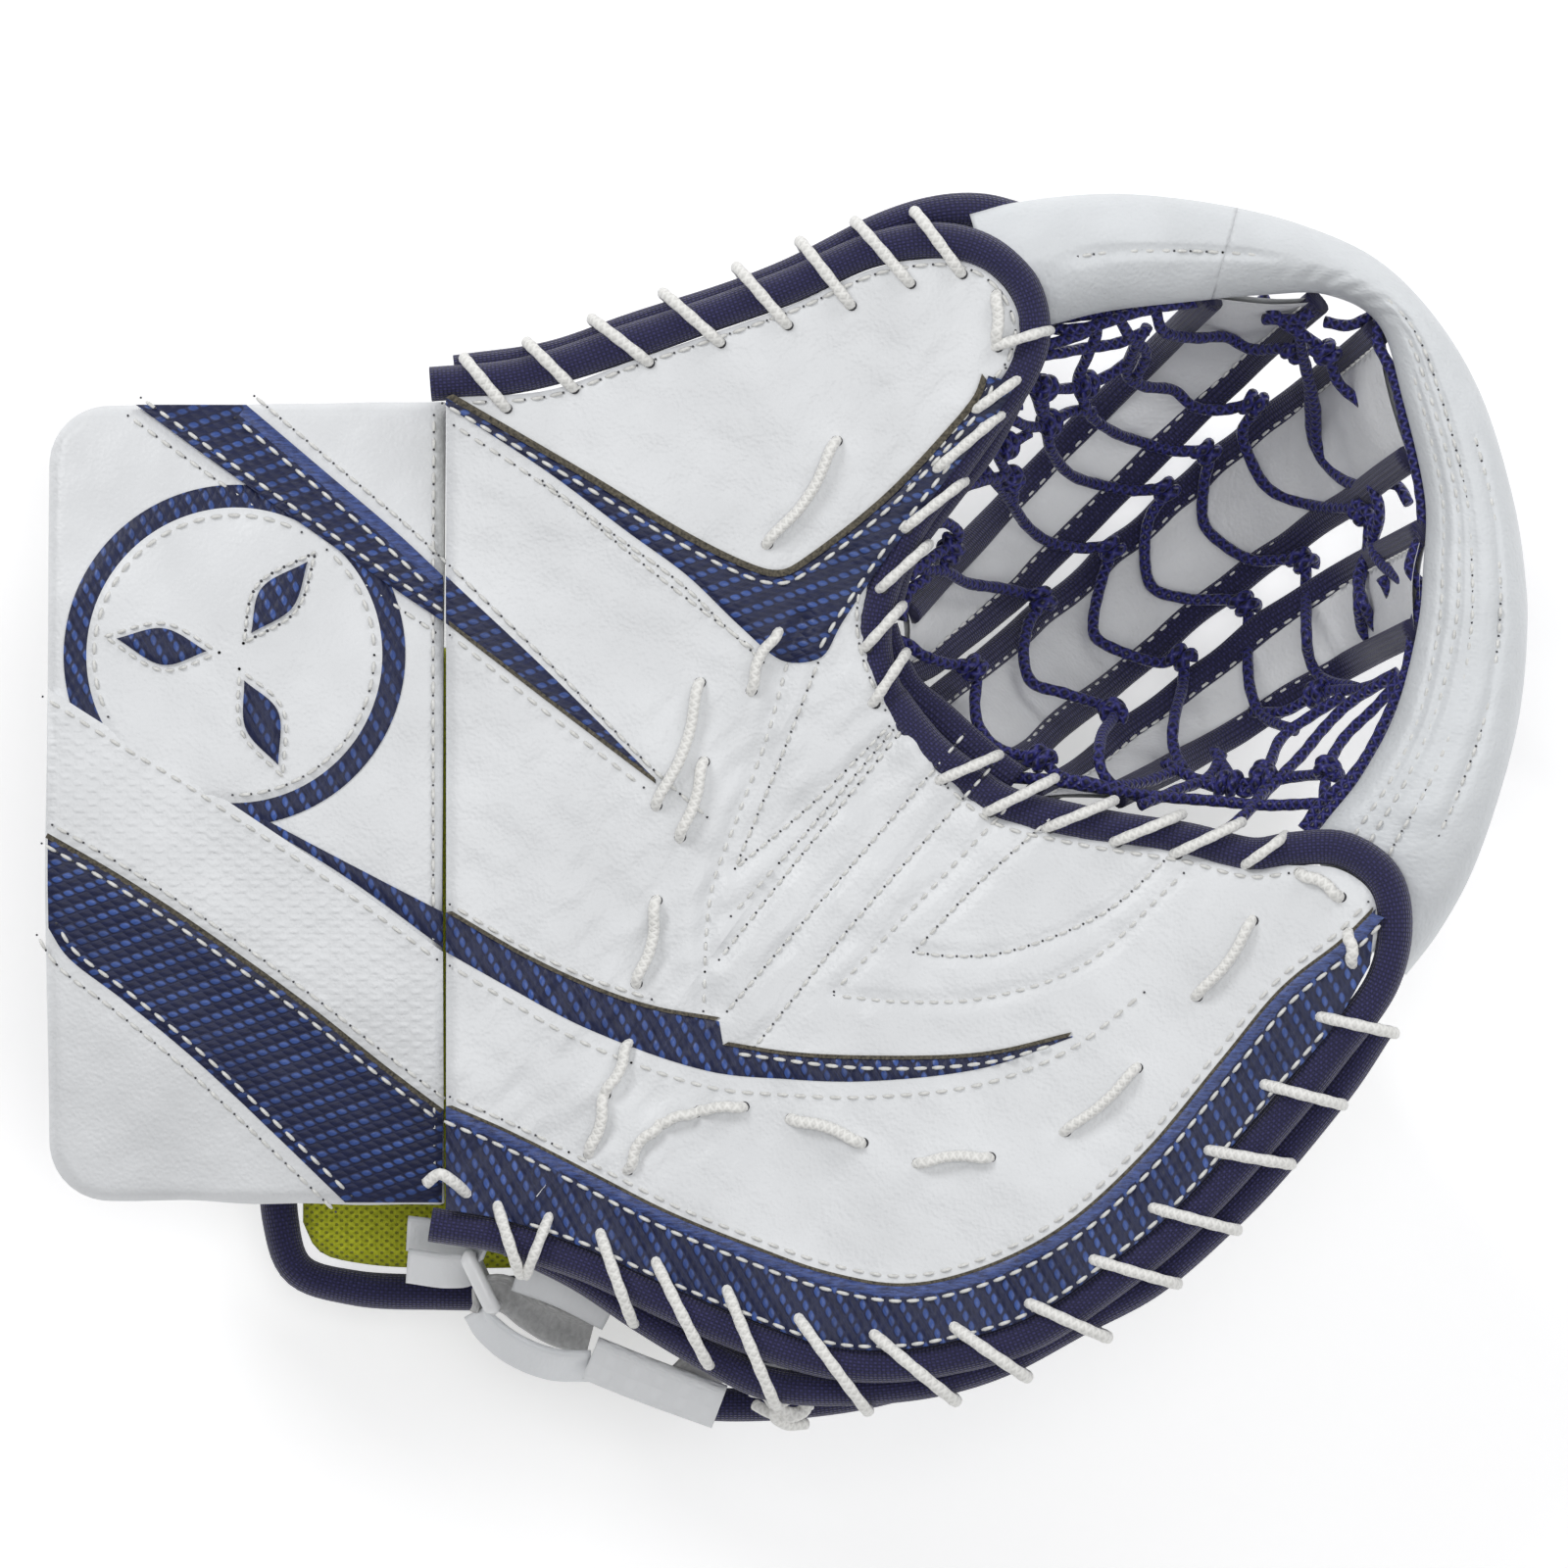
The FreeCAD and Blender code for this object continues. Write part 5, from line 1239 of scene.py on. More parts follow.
def bowl(k, s):
    """Height of a strap at fractions of its length."""
    low = STRAP_LOWS[k]
    h = np.array([STARTS_Z[k], 46, low + 9, low, low + 5, 38, ENDS_Z[k]], float)
    s = np.clip(s, 0, 1)
    m = np.gradient(h, STEPS)
    i = np.clip(np.searchsorted(STEPS, s) - 1, 0, len(STEPS) - 2)
    w = STEPS[i + 1] - STEPS[i]
    t = (s - STEPS[i]) / w
    return ((2 * t ** 3 - 3 * t ** 2 + 1) * h[i] + (t ** 3 - 2 * t ** 2 + t) * w * m[i]
            + (3 * t ** 2 - 2 * t ** 3) * h[i + 1] + (t ** 3 - t ** 2) * w * m[i + 1])


RIBS = [([(28, 62), (46, 86), (62, 112), (72, 124), (100, 128)], [88, 84, 82, 80, 80])]
for k in range(3):
    a, b = np.array(STRAP_STARTS[k], float), np.array(STRAP_ENDS[k], float)
    fine = np.linspace(0, 1, 25)
    RIBS.append(([tuple(a + (b - a) * s) for s in fine], list(bowl(k, fine))))
RIBS.append(([(58, 5), (84, 0), (112, -4), (134, -3), (158, 30)], [84, 86, 88, 90, 92]))


def pocket_z(p):
    """Height of the pocket surface, between the two nearest ribs."""
    ds, hs = [], []
    for line, high in RIBS:
        a, h = np.array(line, float), np.array(high, float)
        best_d, best_h = np.full(len(p), 1e9), np.zeros(len(p))
        for i in range(len(a) - 1):
            ab = a[i + 1] - a[i]
            t = np.clip(((p - a[i]) @ ab) / (ab @ ab), 0, 1)
            d = np.linalg.norm(p - (a[i] + ab * t[:, None]), axis=1)
            better = d < best_d
            best_d = np.where(better, d, best_d)
            best_h = np.where(better, h[i] + (h[i + 1] - h[i]) * t, best_h)
        ds.append(best_d)
        hs.append(best_h)
    d, h = np.array(ds), np.array(hs)
    o = np.argsort(d, axis=0)[:2]
    c = np.arange(len(p))
    d1, d2, h1, h2 = d[o[0], c], d[o[1], c], h[o[0], c], h[o[1], c]
    return (h1 * d2 + h2 * d1) / (d1 + d2 + 1e-3)


BANDS = [([(31, 51), (42, 63.5), (55, 77.5), (65, 88), (76, 99.5), (90, 113.5), (100, 123.5), (108, 131)],
    [(30, 35), (40, 41.5), (50, 49), (65, 63), (85, 82.5), (102, 99.5), (115, 112), (126, 122.5),
    (135, 130)]), ([(33, 25), (40, 30), (60, 46), (80, 62.5), (100, 80), (120, 97.5), (137, 111),
    (150, 122)], [(51, 9.5), (60, 15), (75, 26.5), (90, 38), (105, 51), (120, 62.5), (140, 77), (158, 90)]),
    ([(63, 4), (75, 10.5), (90, 22), (110, 37), (125, 49), (145, 62), (161, 71)],
    [(84, 4.5), (100, 12), (115, 20), (130, 29.5), (145, 38), (159, 46)])]
KNOTS = [(38, 37), (63, 54.5), (83.5, 68), (98, 83.5), (109, 93), (121, 106), (131, 118), (63, 14),
    (85, 25), (102, 39), (119, 54), (134, 65.5), (148, 77)]


def resample(line, n):
    seg = np.linalg.norm(np.diff(line, axis=0), axis=1)
    s = np.concatenate([[0], np.cumsum(seg)])
    t = np.linspace(0, s[-1], n)
    return np.stack([np.interp(t, s, line[:, k]) for k in range(line.shape[1])], 1)


def pocket_straps():
    n = 110
    for k, (up_pts, low_pts) in enumerate(BANDS):
        up, low = resample(smooth(up_pts, 1.0), n), resample(smooth(low_pts, 1.0), n)
        along = np.linspace(0, 1, n)
        high = bowl(k, along) + 0.6 + 8.0 * np.clip((along - 0.9) / 0.1, 0, 1)
        U, L = np.column_stack([up, high]), np.column_stack([low, high])
        # leather between the bands
        cols = 14
        f = np.linspace(0, 1, cols)
        run = np.concatenate([[0], np.cumsum(np.linalg.norm(np.diff((U + L) / 2, axis=0), axis=1))])
        wide = np.linalg.norm(U - L, axis=1)
        P = U[:, None] * (1 - f)[None, :, None] + L[:, None] * f[None, :, None]
        upv = frames((U + L) / 2, (0, 0, 1))[2]
        swell = 1.5 * np.sin(math.pi * f)[None, :, None] * upv[:, None]
        rough_z = 0.5 * noise(np.repeat(run[:, None], cols, 1), np.repeat(f[None] * 20, n, 0), 22,
            50 + k)[..., None] * upv[:, None]
        P = P + swell + rough_z * np.sin(math.pi * f)[None, :, None]
        Q = P - upv[:, None] * 2.2
        v = np.vstack([P.reshape(-1, 3), Q.reshape(-1, 3)])
        uv = np.stack([np.repeat(run[:, None], cols, 1).ravel(), (f[None] * wide[:, None]).ravel()], 1)
        m = n * cols
        faces = []
        for i in range(n - 1):
            for j in range(cols - 1):
                a, b, c, d = i * cols + j, i * cols + j + 1, (i + 1) * cols + j + 1, (i + 1) * cols + j
                faces.append([a, b, c, d])
                faces.append([m + d, m + c, m + b, m + a])
        put(-1, obj_from(f"pocket_leather_{k + 1}", v, faces, np.vstack([uv, uv + [0, 60]]), POCKET_WHITE_LIT))
        for tag, line, other in (("upper", U, L), ("lower", L, U)):
            for knot in KNOTS:
                g = np.exp(-(np.linalg.norm(line[:, :2] - knot, axis=1) / 6.0) ** 2)
                away = line[:, :2] - other[:, :2]
                away /= np.linalg.norm(away, axis=1)[:, None]
                line = line.copy()
                line[:, :2] += away * (g * 1.2)[:, None]
            put(-1, tube(f"pocket_binding_{k + 1}_{tag}", line, 3.0, NYLON_FLAT, sides=14, up=(0, 0, 1),
                shape=(3.6, 1.9), power=2.6, wob=0.05))
            uu = frames(line, (0, 0, 1))[2]
            inward = other - line
            inward /= np.linalg.norm(inward, axis=1)[:, None]
            seam = spaced(line + inward * 2.5 + uu * 1.4, 1.0)
            u2 = frames(seam, (0, 0, 1))[2]
            SEWN[-1].append(stitched("sewn", seam, THREAD, 3.0, 1.6, 0.3, 0.2, up=u2))


pocket_straps()


def knot(at, along, r=1.5):
    """A half hitch: a loop of cord turned round the cord it grips."""
    d = np.array(along, float)
    d /= np.linalg.norm(d) + 1e-9
    side = np.cross(d, [0, 0, 1.0])
    side /= np.linalg.norm(side) + 1e-9
    up = np.cross(side, d)
    t = np.linspace(0, 1.7 * 2 * math.pi, 44)
    pts = np.array(at)[None] + np.outer(np.cos(t) * 2.3, side) + np.outer(np.sin(t) * 2.1,
        up) + np.outer((t / (2 * math.pi) - 0.8) * 3.0, d)
    return tube("hitch", pts, r, WAXED, sides=10)


NET = {1: [], -1: []}


def wax(rows, lift=4.0, knots=(), r=1.5, z=None, sway=0.8):
    line = smooth(rows, 1.0)
    h = pocket_z(line) if z is None else np.interp(np.linspace(0, 1, len(line)), np.linspace(0, 1, len(z)), z)
    k = np.arange(len(line))
    soft = np.convolve(np.pad(h, 6, mode="edge"), np.ones(13) / 13, mode="valid")
    at = np.column_stack([line, soft + lift + sway * 0.5 * np.sin(k / 5.0)])
    for sign, part in parts_of(at):
        m = np.arange(len(part))
        NET[sign].append(tube("cord", part, r, WAXED, sides=10,
            shape=(r * (1 + 0.05 * np.sin(m * 1.3)), r * (1 + 0.05 * np.cos(m * 1.3)))))
    for q in knots:
        i = int(np.argmin(np.linalg.norm(at[:, :2] - q, axis=1)))
        j0, j1 = max(i - 3, 0), min(i + 3, len(at) - 1)
        sgn = 1 if side_of(at[i:i + 1])[0] > 0 else -1
        NET[sgn].append(knot(at[i] + [0, 0, 0.6], at[j1] - at[j0]))


wax([(28, 44), (31, 43), (34, 40.5), (41, 38), (47, 37.5), (48.5, 34), (48, 28), (49, 22), (53, 17),
    (58, 15), (64, 14), (67, 11.5), (70, 9), (78, 7.5), (84, 5)], knots=[(47.5, 38), (65, 14)])
wax([(29, 63), (34, 62), (41, 61.5), (46, 59), (57, 57.5), (66, 54.5), (62.5, 49), (61, 40), (63, 33.5),
    (72, 30.5), (84, 25.5), (80.5, 20), (79.5, 13), (82, 8), (90, 4)], knots=[(65.5, 55), (84, 25.5)])
wax([(50, 88), (57, 80.5), (62, 74), (68, 70), (76, 68.5), (84, 68.5), (82, 61), (79.5, 50), (80, 45.5),
    (87, 41.5), (97, 38.8), (102.5, 40), (102.5, 33), (100, 25), (99.5, 17), (104, 9), (112, 6)],
    knots=[(83.5, 68.5), (102, 40)])
wax([(63, 108), (66, 100), (68, 93), (73, 87.5), (81, 85), (90, 83.5), (98.5, 83.5), (94.5, 77), (93, 68),
    (95, 58.5), (104, 55.5), (119, 54), (119.5, 45), (120, 32), (123, 25), (131, 21)],
    knots=[(98, 83.5), (118.5, 54)])
wax([(75, 111), (77.5, 103), (84, 98.5), (92, 96), (100, 93.8), (109.5, 93), (108.5, 86), (108.5, 75),
    (113, 70), (121, 65.5), (134, 65), (134.5, 58), (134.5, 42), (138, 35), (147, 32)],
    knots=[(109, 93), (134, 65)])
wax([(92, 124), (88, 117), (87.5, 112), (92, 109.7), (100, 109), (105, 105), (112, 104), (122, 105.5),
    (118, 99), (120, 92), (125, 84), (136, 79.5), (148.5, 77), (149.5, 68), (147, 55), (149, 46),
    (153, 43)], knots=[(121, 105.5), (148, 77)])
wax([(94, 128), (96, 123), (104, 121.5), (113, 122), (119, 119), (131, 118), (134, 110), (136, 96),
    (141, 88), (147, 84), (156, 84), (159, 79)], knots=[(130.5, 118)])
wax([(121, 132), (126, 125.5), (134, 120.5), (138, 117), (141, 110), (148, 104), (156, 97), (158, 95)],
    knots=[(138, 118)])
wax([(135, 131), (131, 124), (132, 117), (136, 104), (137, 95), (143, 86), (148, 83)], lift=5.0)
wax([(151, 128), (150, 120), (154, 111), (157, 98), (160.5, 82), (161, 72), (158, 62), (161, 57), (159, 47),
    (157, 36), (152, 24), (144, 9), (138, 1), (132, -5)], lift=0,
    z=[88, 90, 92, 94, 95, 95, 94, 95, 95, 95, 95, 95, 95, 95], sway=0.4)
wax([(150, 84), (152, 77), (150, 68), (147, 60), (149, 52), (153, 47), (158, 49)], lift=6)
wax([(146, 80), (150, 76), (151, 66), (156, 60), (160, 57)], lift=7)
wax([(153, 47), (155, 54), (152, 60)], lift=9)
wax([(137, 125), (143, 124), (150, 127)], lift=6)
wax([(122, 126), (131, 126), (137, 130)], lift=5)
# the net beside the thumb
for rows, kn in (([(58, 111), (64, 108.5), (72, 108.5), (78, 110), (84, 113), (88, 116)],
    [(66, 108.5), (76, 110)]), ([(64, 124), (71, 123), (79, 124), (86, 126.5), (94, 128.5)], []),
    ([(61, 116), (69, 117), (76, 118.5), (85, 120), (92, 123)], []),
    ([(48, 100), (55, 101), (62, 98.5), (67, 99.5), (73, 103), (79, 103)], [(67, 100)]),
    ([(66, 119), (73, 121), (79, 123), (77, 117), (74.5, 110), (77, 104)], []),
    ([(56, 112), (60, 109), (65, 107), (66, 101), (67.5, 94)], []),
    ([(46, 88), (51, 91), (56, 93.5), (62, 97)], [(56, 93.5)]),
    ([(52, 95), (55, 89), (58, 84), (58, 79)], [(57, 86)]), ([(40, 80), (48, 84), (56, 86)], []),
    ([(63, 125), (74, 126.5), (84, 127.5), (100, 129.5), (117, 131.5)], []),
    ([(35, 72), (40, 74), (44, 71), (41, 66), (40, 61)], [(42, 68)]),
    ([(60, 104), (54, 103), (48, 99)], []), ([(84, 127), (88, 121), (92, 118), (90, 112)], []),
    ([(31, 60), (37, 65), (43, 69)], []), ([(29, 49), (31, 56), (36, 60)], [])):
    wax(rows, lift=4.5, knots=kn)
# the net beside the fingers
for rows, kn in (([(56, 9), (66, 8.5), (78, 6.5), (92, 4.5), (110, 3), (122, 2), (136, 2.5)], []),
    ([(97, 13), (104, 9), (112, 7.5), (122, 8), (132, 9.5), (141, 10)], [(113, 8), (122, 8)]),
    ([(110, 16), (114, 9), (117, 5), (123, 11), (127, 19), (135, 25), (143, 30)], [(123, 9)]),
    ([(121, 4), (127, 10), (132, 15), (137, 21), (144, 28), (155, 35)], []),
    ([(136, 1), (138, 12), (142, 19), (150, 27), (156, 34)], [(138, 11)]),
    ([(131, -4), (136, 3), (143, 9), (150, 19), (156, 31)], []),
    ([(120, 26), (128, 26), (138, 31), (148, 32), (156, 36)], [(137, 30)]),
    ([(112, -4), (118, 1), (122, 6)], []), ([(90, 2), (100, 6), (108, 9), (112, 15)], []),
    ([(70, 9), (80, 7), (92, 8), (102, 12)], [])):
    wax(rows, lift=4.5, knots=kn)
for sign, tag in ((1, "thumb"), (-1, "finger")):
    put(sign, join(f"waxed_lace_{tag}_side", NET[sign]))

# the bound foot of the pocket
foot = smooth([(24, 47), (27, 38), (31, 31), (38, 25), (44, 19.5), (52, 12.5), (58, 8)], 1.2)
put(-1, tube("pocket_foot_binding", np.column_stack([foot, np.full(len(foot), 90.0)]), 4.0, NYLON_FLAT,
    sides=14, up=(0, 0, 1), shape=(4.4, 2.6), power=2.5))
web = smooth([(25, 50), (30, 66), (40, 80), (50, 93), (58, 108)], 1.5)
put(1, tube("thumb_edge_band", np.column_stack([web, np.full(len(web), 88.0)]), 4.0, NYLON_FLAT, sides=14,
    up=(0, 0, 1), shape=(3.8, 5.5), power=2.6))


# ---------- padded cloth ----------
CLOTH_FRAMES = 20
CLOTH_VOXEL = 0.0048


def inflate(o, lines, cap=2.2):
    """A pad's cover blown up a little by its filling, then drawn in along its quilting."""
    rest_box = np.array([v.co for v in o.data.vertices])
    low, high = rest_box[:, 2].min(), rest_box[:, 2].max()
    bpy.context.view_layer.objects.active = o
    for other in bpy.context.selected_objects:
        other.select_set(False)
    o.select_set(True)
    m = o.modifiers.new("even", "REMESH")
    m.mode = "VOXEL"
    m.voxel_size = CLOTH_VOXEL
    bpy.ops.object.modifier_apply(modifier=m.name)
    before = np.array([v.co for v in o.data.vertices])
    c = o.modifiers.new("cover", "CLOTH")
    c.settings.quality = 5
    c.settings.mass = 0.15
    c.settings.tension_stiffness = 40
    c.settings.compression_stiffness = 40
    c.settings.bending_stiffness = 3
    c.settings.use_pressure = True
    c.settings.uniform_pressure_force = 4.0
    c.settings.effector_weights.gravity = 0
    c.point_cache.frame_start = 1
    c.point_cache.frame_end = CLOTH_FRAMES
    for f in range(1, CLOTH_FRAMES + 1):
        bpy.context.scene.frame_set(f)
    ev = o.evaluated_get(bpy.context.evaluated_depsgraph_get())
    after = np.array([v.co for v in ev.data.vertices])
    o.modifiers.remove(c)
    bpy.context.scene.frame_set(1)
    move = after - before
    size = np.linalg.norm(move, axis=1)[:, None] + 1e-12
    move *= np.minimum(1.0, cap * MM / size)
    pts = (before + move) / MM
    for line in lines:
        dent = np.exp(-(near(pts[:, :2], line) / 3.2) ** 2)
        mid = (low + high) / 2 / MM
        pts[:, 2] -= np.sign(pts[:, 2] - mid) * 1.9 * dent
    pts[:, 2] = np.clip(pts[:, 2], max(low / MM - 0.5, 0.3), high / MM + 1.2)
    o.data.vertices.foreach_set("co", (pts * MM).astype(np.float32).ravel())
    sub = o.modifiers.new("fine", "SUBSURF")
    sub.levels = 1
    bpy.ops.object.modifier_apply(modifier=sub.name)
    me = o.data
    layer = me.uv_layers.get("UVMap") or me.uv_layers.new(name="UVMap")
    co = np.array([v.co for v in me.vertices]) / MM
    for poly in me.polygons:
        n = poly.normal
        k = int(np.argmax(np.abs(n)))
        for li in poly.loop_indices:
            p = co[me.loops[li].vertex_index]
            uv = (p[0], p[1]) if k == 2 else (p[0], p[2]) if k == 1 else (p[1], p[2])
            layer.data[li].uv = (uv[0] / 100, uv[1] / 100)
    me.polygons.foreach_set("use_smooth", [True] * len(me.polygons))
    me.update()


# ---------- the back of the glove ----------
def bar(name, pts, z, half_wide, half_high, mat, body, power=5.0, step=2.0, wob=0.0, sides=24, up=(0, 0, 1)):
    """A band or wall standing on edge along a plan line."""
    line = smooth(pts, step) if len(pts) > 2 else spaced(np.array(pts, float), step)
    zz = np.full(len(line), float(z)) if np.ndim(z) == 0 else np.interp(np.linspace(0, 1, len(line)),
        np.linspace(0, 1, len(z)), z)
    o = tube(name, np.column_stack([line, zz]), half_wide, mat, sides=sides, up=up,
        shape=(half_wide, half_high), power=power, wob=wob)
    on(body, o)
    return o


BACK_OUT = ring([(-126, -107), (-126, 40)], [(-126, 40), (-60, 45), (10, 34)], [(10, 34), (10, -21)],
    [(10, -21), (-14, -45)], [(-14, -45), (-34, -117)], [(-34, -117), (-70, -119), (-110, -118),
    (-122, -114.5), (-126, -107)], step=3)
FING_OUT = ring([(-27, -119), (-8, -42)], [(-8, -42), (20, -15)],
    [(20, -15), (60, -15), (110, -22), (138, -32), (142, -46)],
    [(142, -46), (125, -68), (100, -96), (78, -116), (52, -133), (24, -144), (0, -147), (-24, -148)],
    [(-24, -148), (-27, -119)], step=3)
THUMB_OUT = ring([(-86, 40), (-86, 104)], [(-86, 104), (-60, 107), (-40, 113), (0, 127), (25, 139),
    (40, 143), (50, 142)], [(50, 142), (56, 133), (56, 120), (44, 100), (26, 76), (12, 58)],
    [(12, 58), (-86, 40)], step=3)
quilts = [smooth([(-118, y), (-60, y + 3), (2, y)], 3) for y in (-92, -62, -32, -2, 24)]
back = slab("back_hand_padding", BACK_OUT, 1.2, 23.6, WHITE_WEAVE, h=4, edge=9, grooves=quilts, depth=2.0,
    wave=0.5)
mesh = slab("back_hand_lining", BACK_OUT * 0.985 + np.array([-1, -0.6]), 23.4, 26.8, YELLOW, h=4, edge=1.5,
    wave=0.5)
on("palm", back, mesh)
fquilt = [smooth([(p, -20), (p - 12, -80), (p - 30, -140)], 3) for p in (40, 70, 100, 128)]
fback = slab("finger_back_padding", FING_OUT, 1.2, 19.8, WHITE_WEAVE, h=4, edge=8, grooves=fquilt,
    depth=2.0, wave=0.5)
fmesh = slab("finger_back_lining", FING_OUT * 0.96 + np.array([2, -3.5]), 19.6, 22.6, YELLOW, h=4, edge=1.4,
    wave=0.4)
on("fingers", fback, fmesh)
tback = slab("thumb_back_padding", THUMB_OUT, 30.4, 45.8, WHITE_WEAVE, h=4, edge=6.5,
    grooves=[smooth([(-70, 50), (-60, 100)], 3), smooth([(-20, 56), (-14, 116)], 3)], depth=1.8, wave=0.5)
on("palm", tback)
for o, lines in ((back, quilts), (fback, fquilt), (tback, [])):
    inflate(o, lines)
bar("thumb_outer_wall", [(-84, 99.5), (-60, 102), (-40, 108), (0, 122), (24, 134), (38, 138), (47, 137.5)],
    65.4, 5.0, 20.0, WHITE_WEAVE, "palm", power=4, wob=0.03)
bar("finger_outer_wall", [(-23, -142.5), (0, -142), (24, -139), (50, -128.5), (75, -112), (96, -92),
    (118, -65), (135, -45)], 34.5, 4.6, 15.4, WHITE_WEAVE, "fingers", power=4, wob=0.03)
bar("finger_side_wall", [(-20, -137), (0, -139), (22, -137), (48, -127), (72, -111), (94, -91), (114, -67),
    (132, -43)], 69.5, 1.1, 20.0, NYLON_FLAT, "fingers", power=6)
bar("thumb_inner_wall", [(52, 122), (44, 106), (28, 82), (12, 63)], 64, 1.1, 17.7, LINING, "palm", power=6)
for k, (sy, ex, ey) in enumerate(((-48, 112, -44), (-72, 104, -66), (-94, 82, -88))):
    bar(f"finger_web_{k + 1}", [(22, sy + 0.8), ((22 + ex) / 2, (sy + ey) / 2 - 0.2), (ex, ey + 0.8)], 52.5,
        0.8, 29, LINING, "fingers", power=8)
bar("back_roll", [(-131, 40), (-131, 10), (-131, -20), (-131, -50), (-131, -80), (-131, -105),
    (-126.5, -118.2), (-112, -123), (-90, -124.2), (-70, -124.4), (-52, -123.8), (-37, -122.6)], 25, 4.6,
    4.6, NYLON, "palm", power=2, wob=0.06)
bar("finger_low_roll", [(-23, -151), (-20, -151.6), (-8, -151.8), (4, -151), (22, -148), (38, -143),
    (56, -132), (78, -116.5), (100, -96.5), (123, -70), (139, -49)], 54.7, 4.4, 4.4, NYLON, "fingers",
    power=2, wob=0.06)
stay = smooth([(-96, 0), (-80, 22), (-30, 33), (20, 22), (36, 0)], 2)
stay_line = np.column_stack([np.full(len(stay), -51.0), stay[:, 0], stay[:, 1] + 28.5])
on("palm", tube("hand_strap", stay_line, 1, NYLON, sides=20, up=(1, 0, 0), shape=(1.3, 19), power=8))

# the wrist strap, its loop and tabs
bar("ring_fold", [(-97, -107.5), (-90, -108.4), (-84, -110.2), (-79.2, -113.2), (-80.4, -116.4),
    (-86, -117.2), (-97, -115.8)], 64, 0.95, 10.6, WHITE, "palm", power=6, step=1.0, up=(0.1, 0.4, 0.91))
bar("wrist_strap_length", [(-50, -141.5), (-60, -141), (-70, -137), (-77, -131.2), (-79.4, -127.5)], 64,
    1.1, 10.6, WHITE_SOFT, "wrist_strap", power=6, step=1.0, up=(0.12, 0.36, 0.92))
bar("wrist_strap_turn", [(-79.4, -127.5), (-77.6, -123.6), (-72.5, -123), (-66, -127.5), (-59, -131.5),
    (-50, -134)], 63, 1.0, 11.2, SUEDE, "wrist_strap", power=6, step=1.0, up=(0.1, 0.42, 0.9))
bar("side_fold", [(-68, -115.5), (-57, -119.5), (-44, -126)], 79, 1.6, 7.6, WHITE, "palm", power=5,
    step=1.0, up=(0.2, 0.78, 0.59))
bar("strap_end", [(-50, -139), (-35, -145), (-17, -151.5)], 73, 1.25, 9.0, WHITE_WEAVE, "fingers", power=6,
    step=1.0, up=(0.3, 0.55, 0.78))
bar("strap_end_turn", [(-27, -147.5), (-21, -141.5), (-15, -136.5)], 72, 0.9, 8.2, SUEDE, "fingers",
    power=6, step=1.0, up=(-0.45, 0.55, 0.7))
tab_bar, strap_bar = np.array([-81, -113.5, 64.0]), np.array([-75, -126, 64.0])
way = (strap_bar - tab_bar) / np.linalg.norm(strap_bar - tab_bar)
half_l, half_h = np.linalg.norm(strap_bar - tab_bar) / 2, 14.6
loop = []
for cx, cz, a0 in ((1, 1, 0), (-1, 1, 90), (-1, -1, 180), (1, -1, 270)):
    for a in np.linspace(0, 90, 6):
        q = math.radians(a0 + a)
        out = cx * (half_l - 2.5) + 2.5 * math.cos(q)
        rise = cz * (half_h - 2.5) + 2.5 * math.sin(q)
        loop.append((tab_bar + strap_bar) / 2 + way * out + np.array([0, 0, rise]))
loop = np.array(loop + loop[:2])
on("ring", tube("plastic_loop", spaced(loop, 1.2), 1.9, PLASTIC, sides=12, shape=(2.0, 1.8), power=3))
tie = smooth([(-8, -150, 91), (-4, -152, 94), (1, -153, 95.5), (5, -151, 95), (3, -148, 97), (-1, -149, 98),
    (-3, -152.5, 96), (0, -155, 92), (5, -155, 88)], 0.8)
tip = smooth([(-80, -97, 103), (-84, -93, 107.5), (-87.5, -91, 108), (-91, -93.5, 106)], 0.8)
WHIPS[1].append(tube("turn", tip, 1.5, LACE, sides=10))
tie2 = smooth([(6, -150, 92), (2, -152, 95), (-3, -150, 96.5), (-5, -147.5, 95), (-9, -146.5, 93)], 0.8)
WHIPS[-1] += [tube("turn", tie, 1.5, LACE, sides=10), tube("turn", tie2, 1.5, LACE, sides=10)]


# ---------- floor, light and camera ----------
FLOOR = 3000.0               # half the width of the floor
FAR = 3.2                    # the camera above the glove, in metres
SEEN = 0.396                 # width of the picture at the glove, in metres
GLOVE_TOP = 0.105


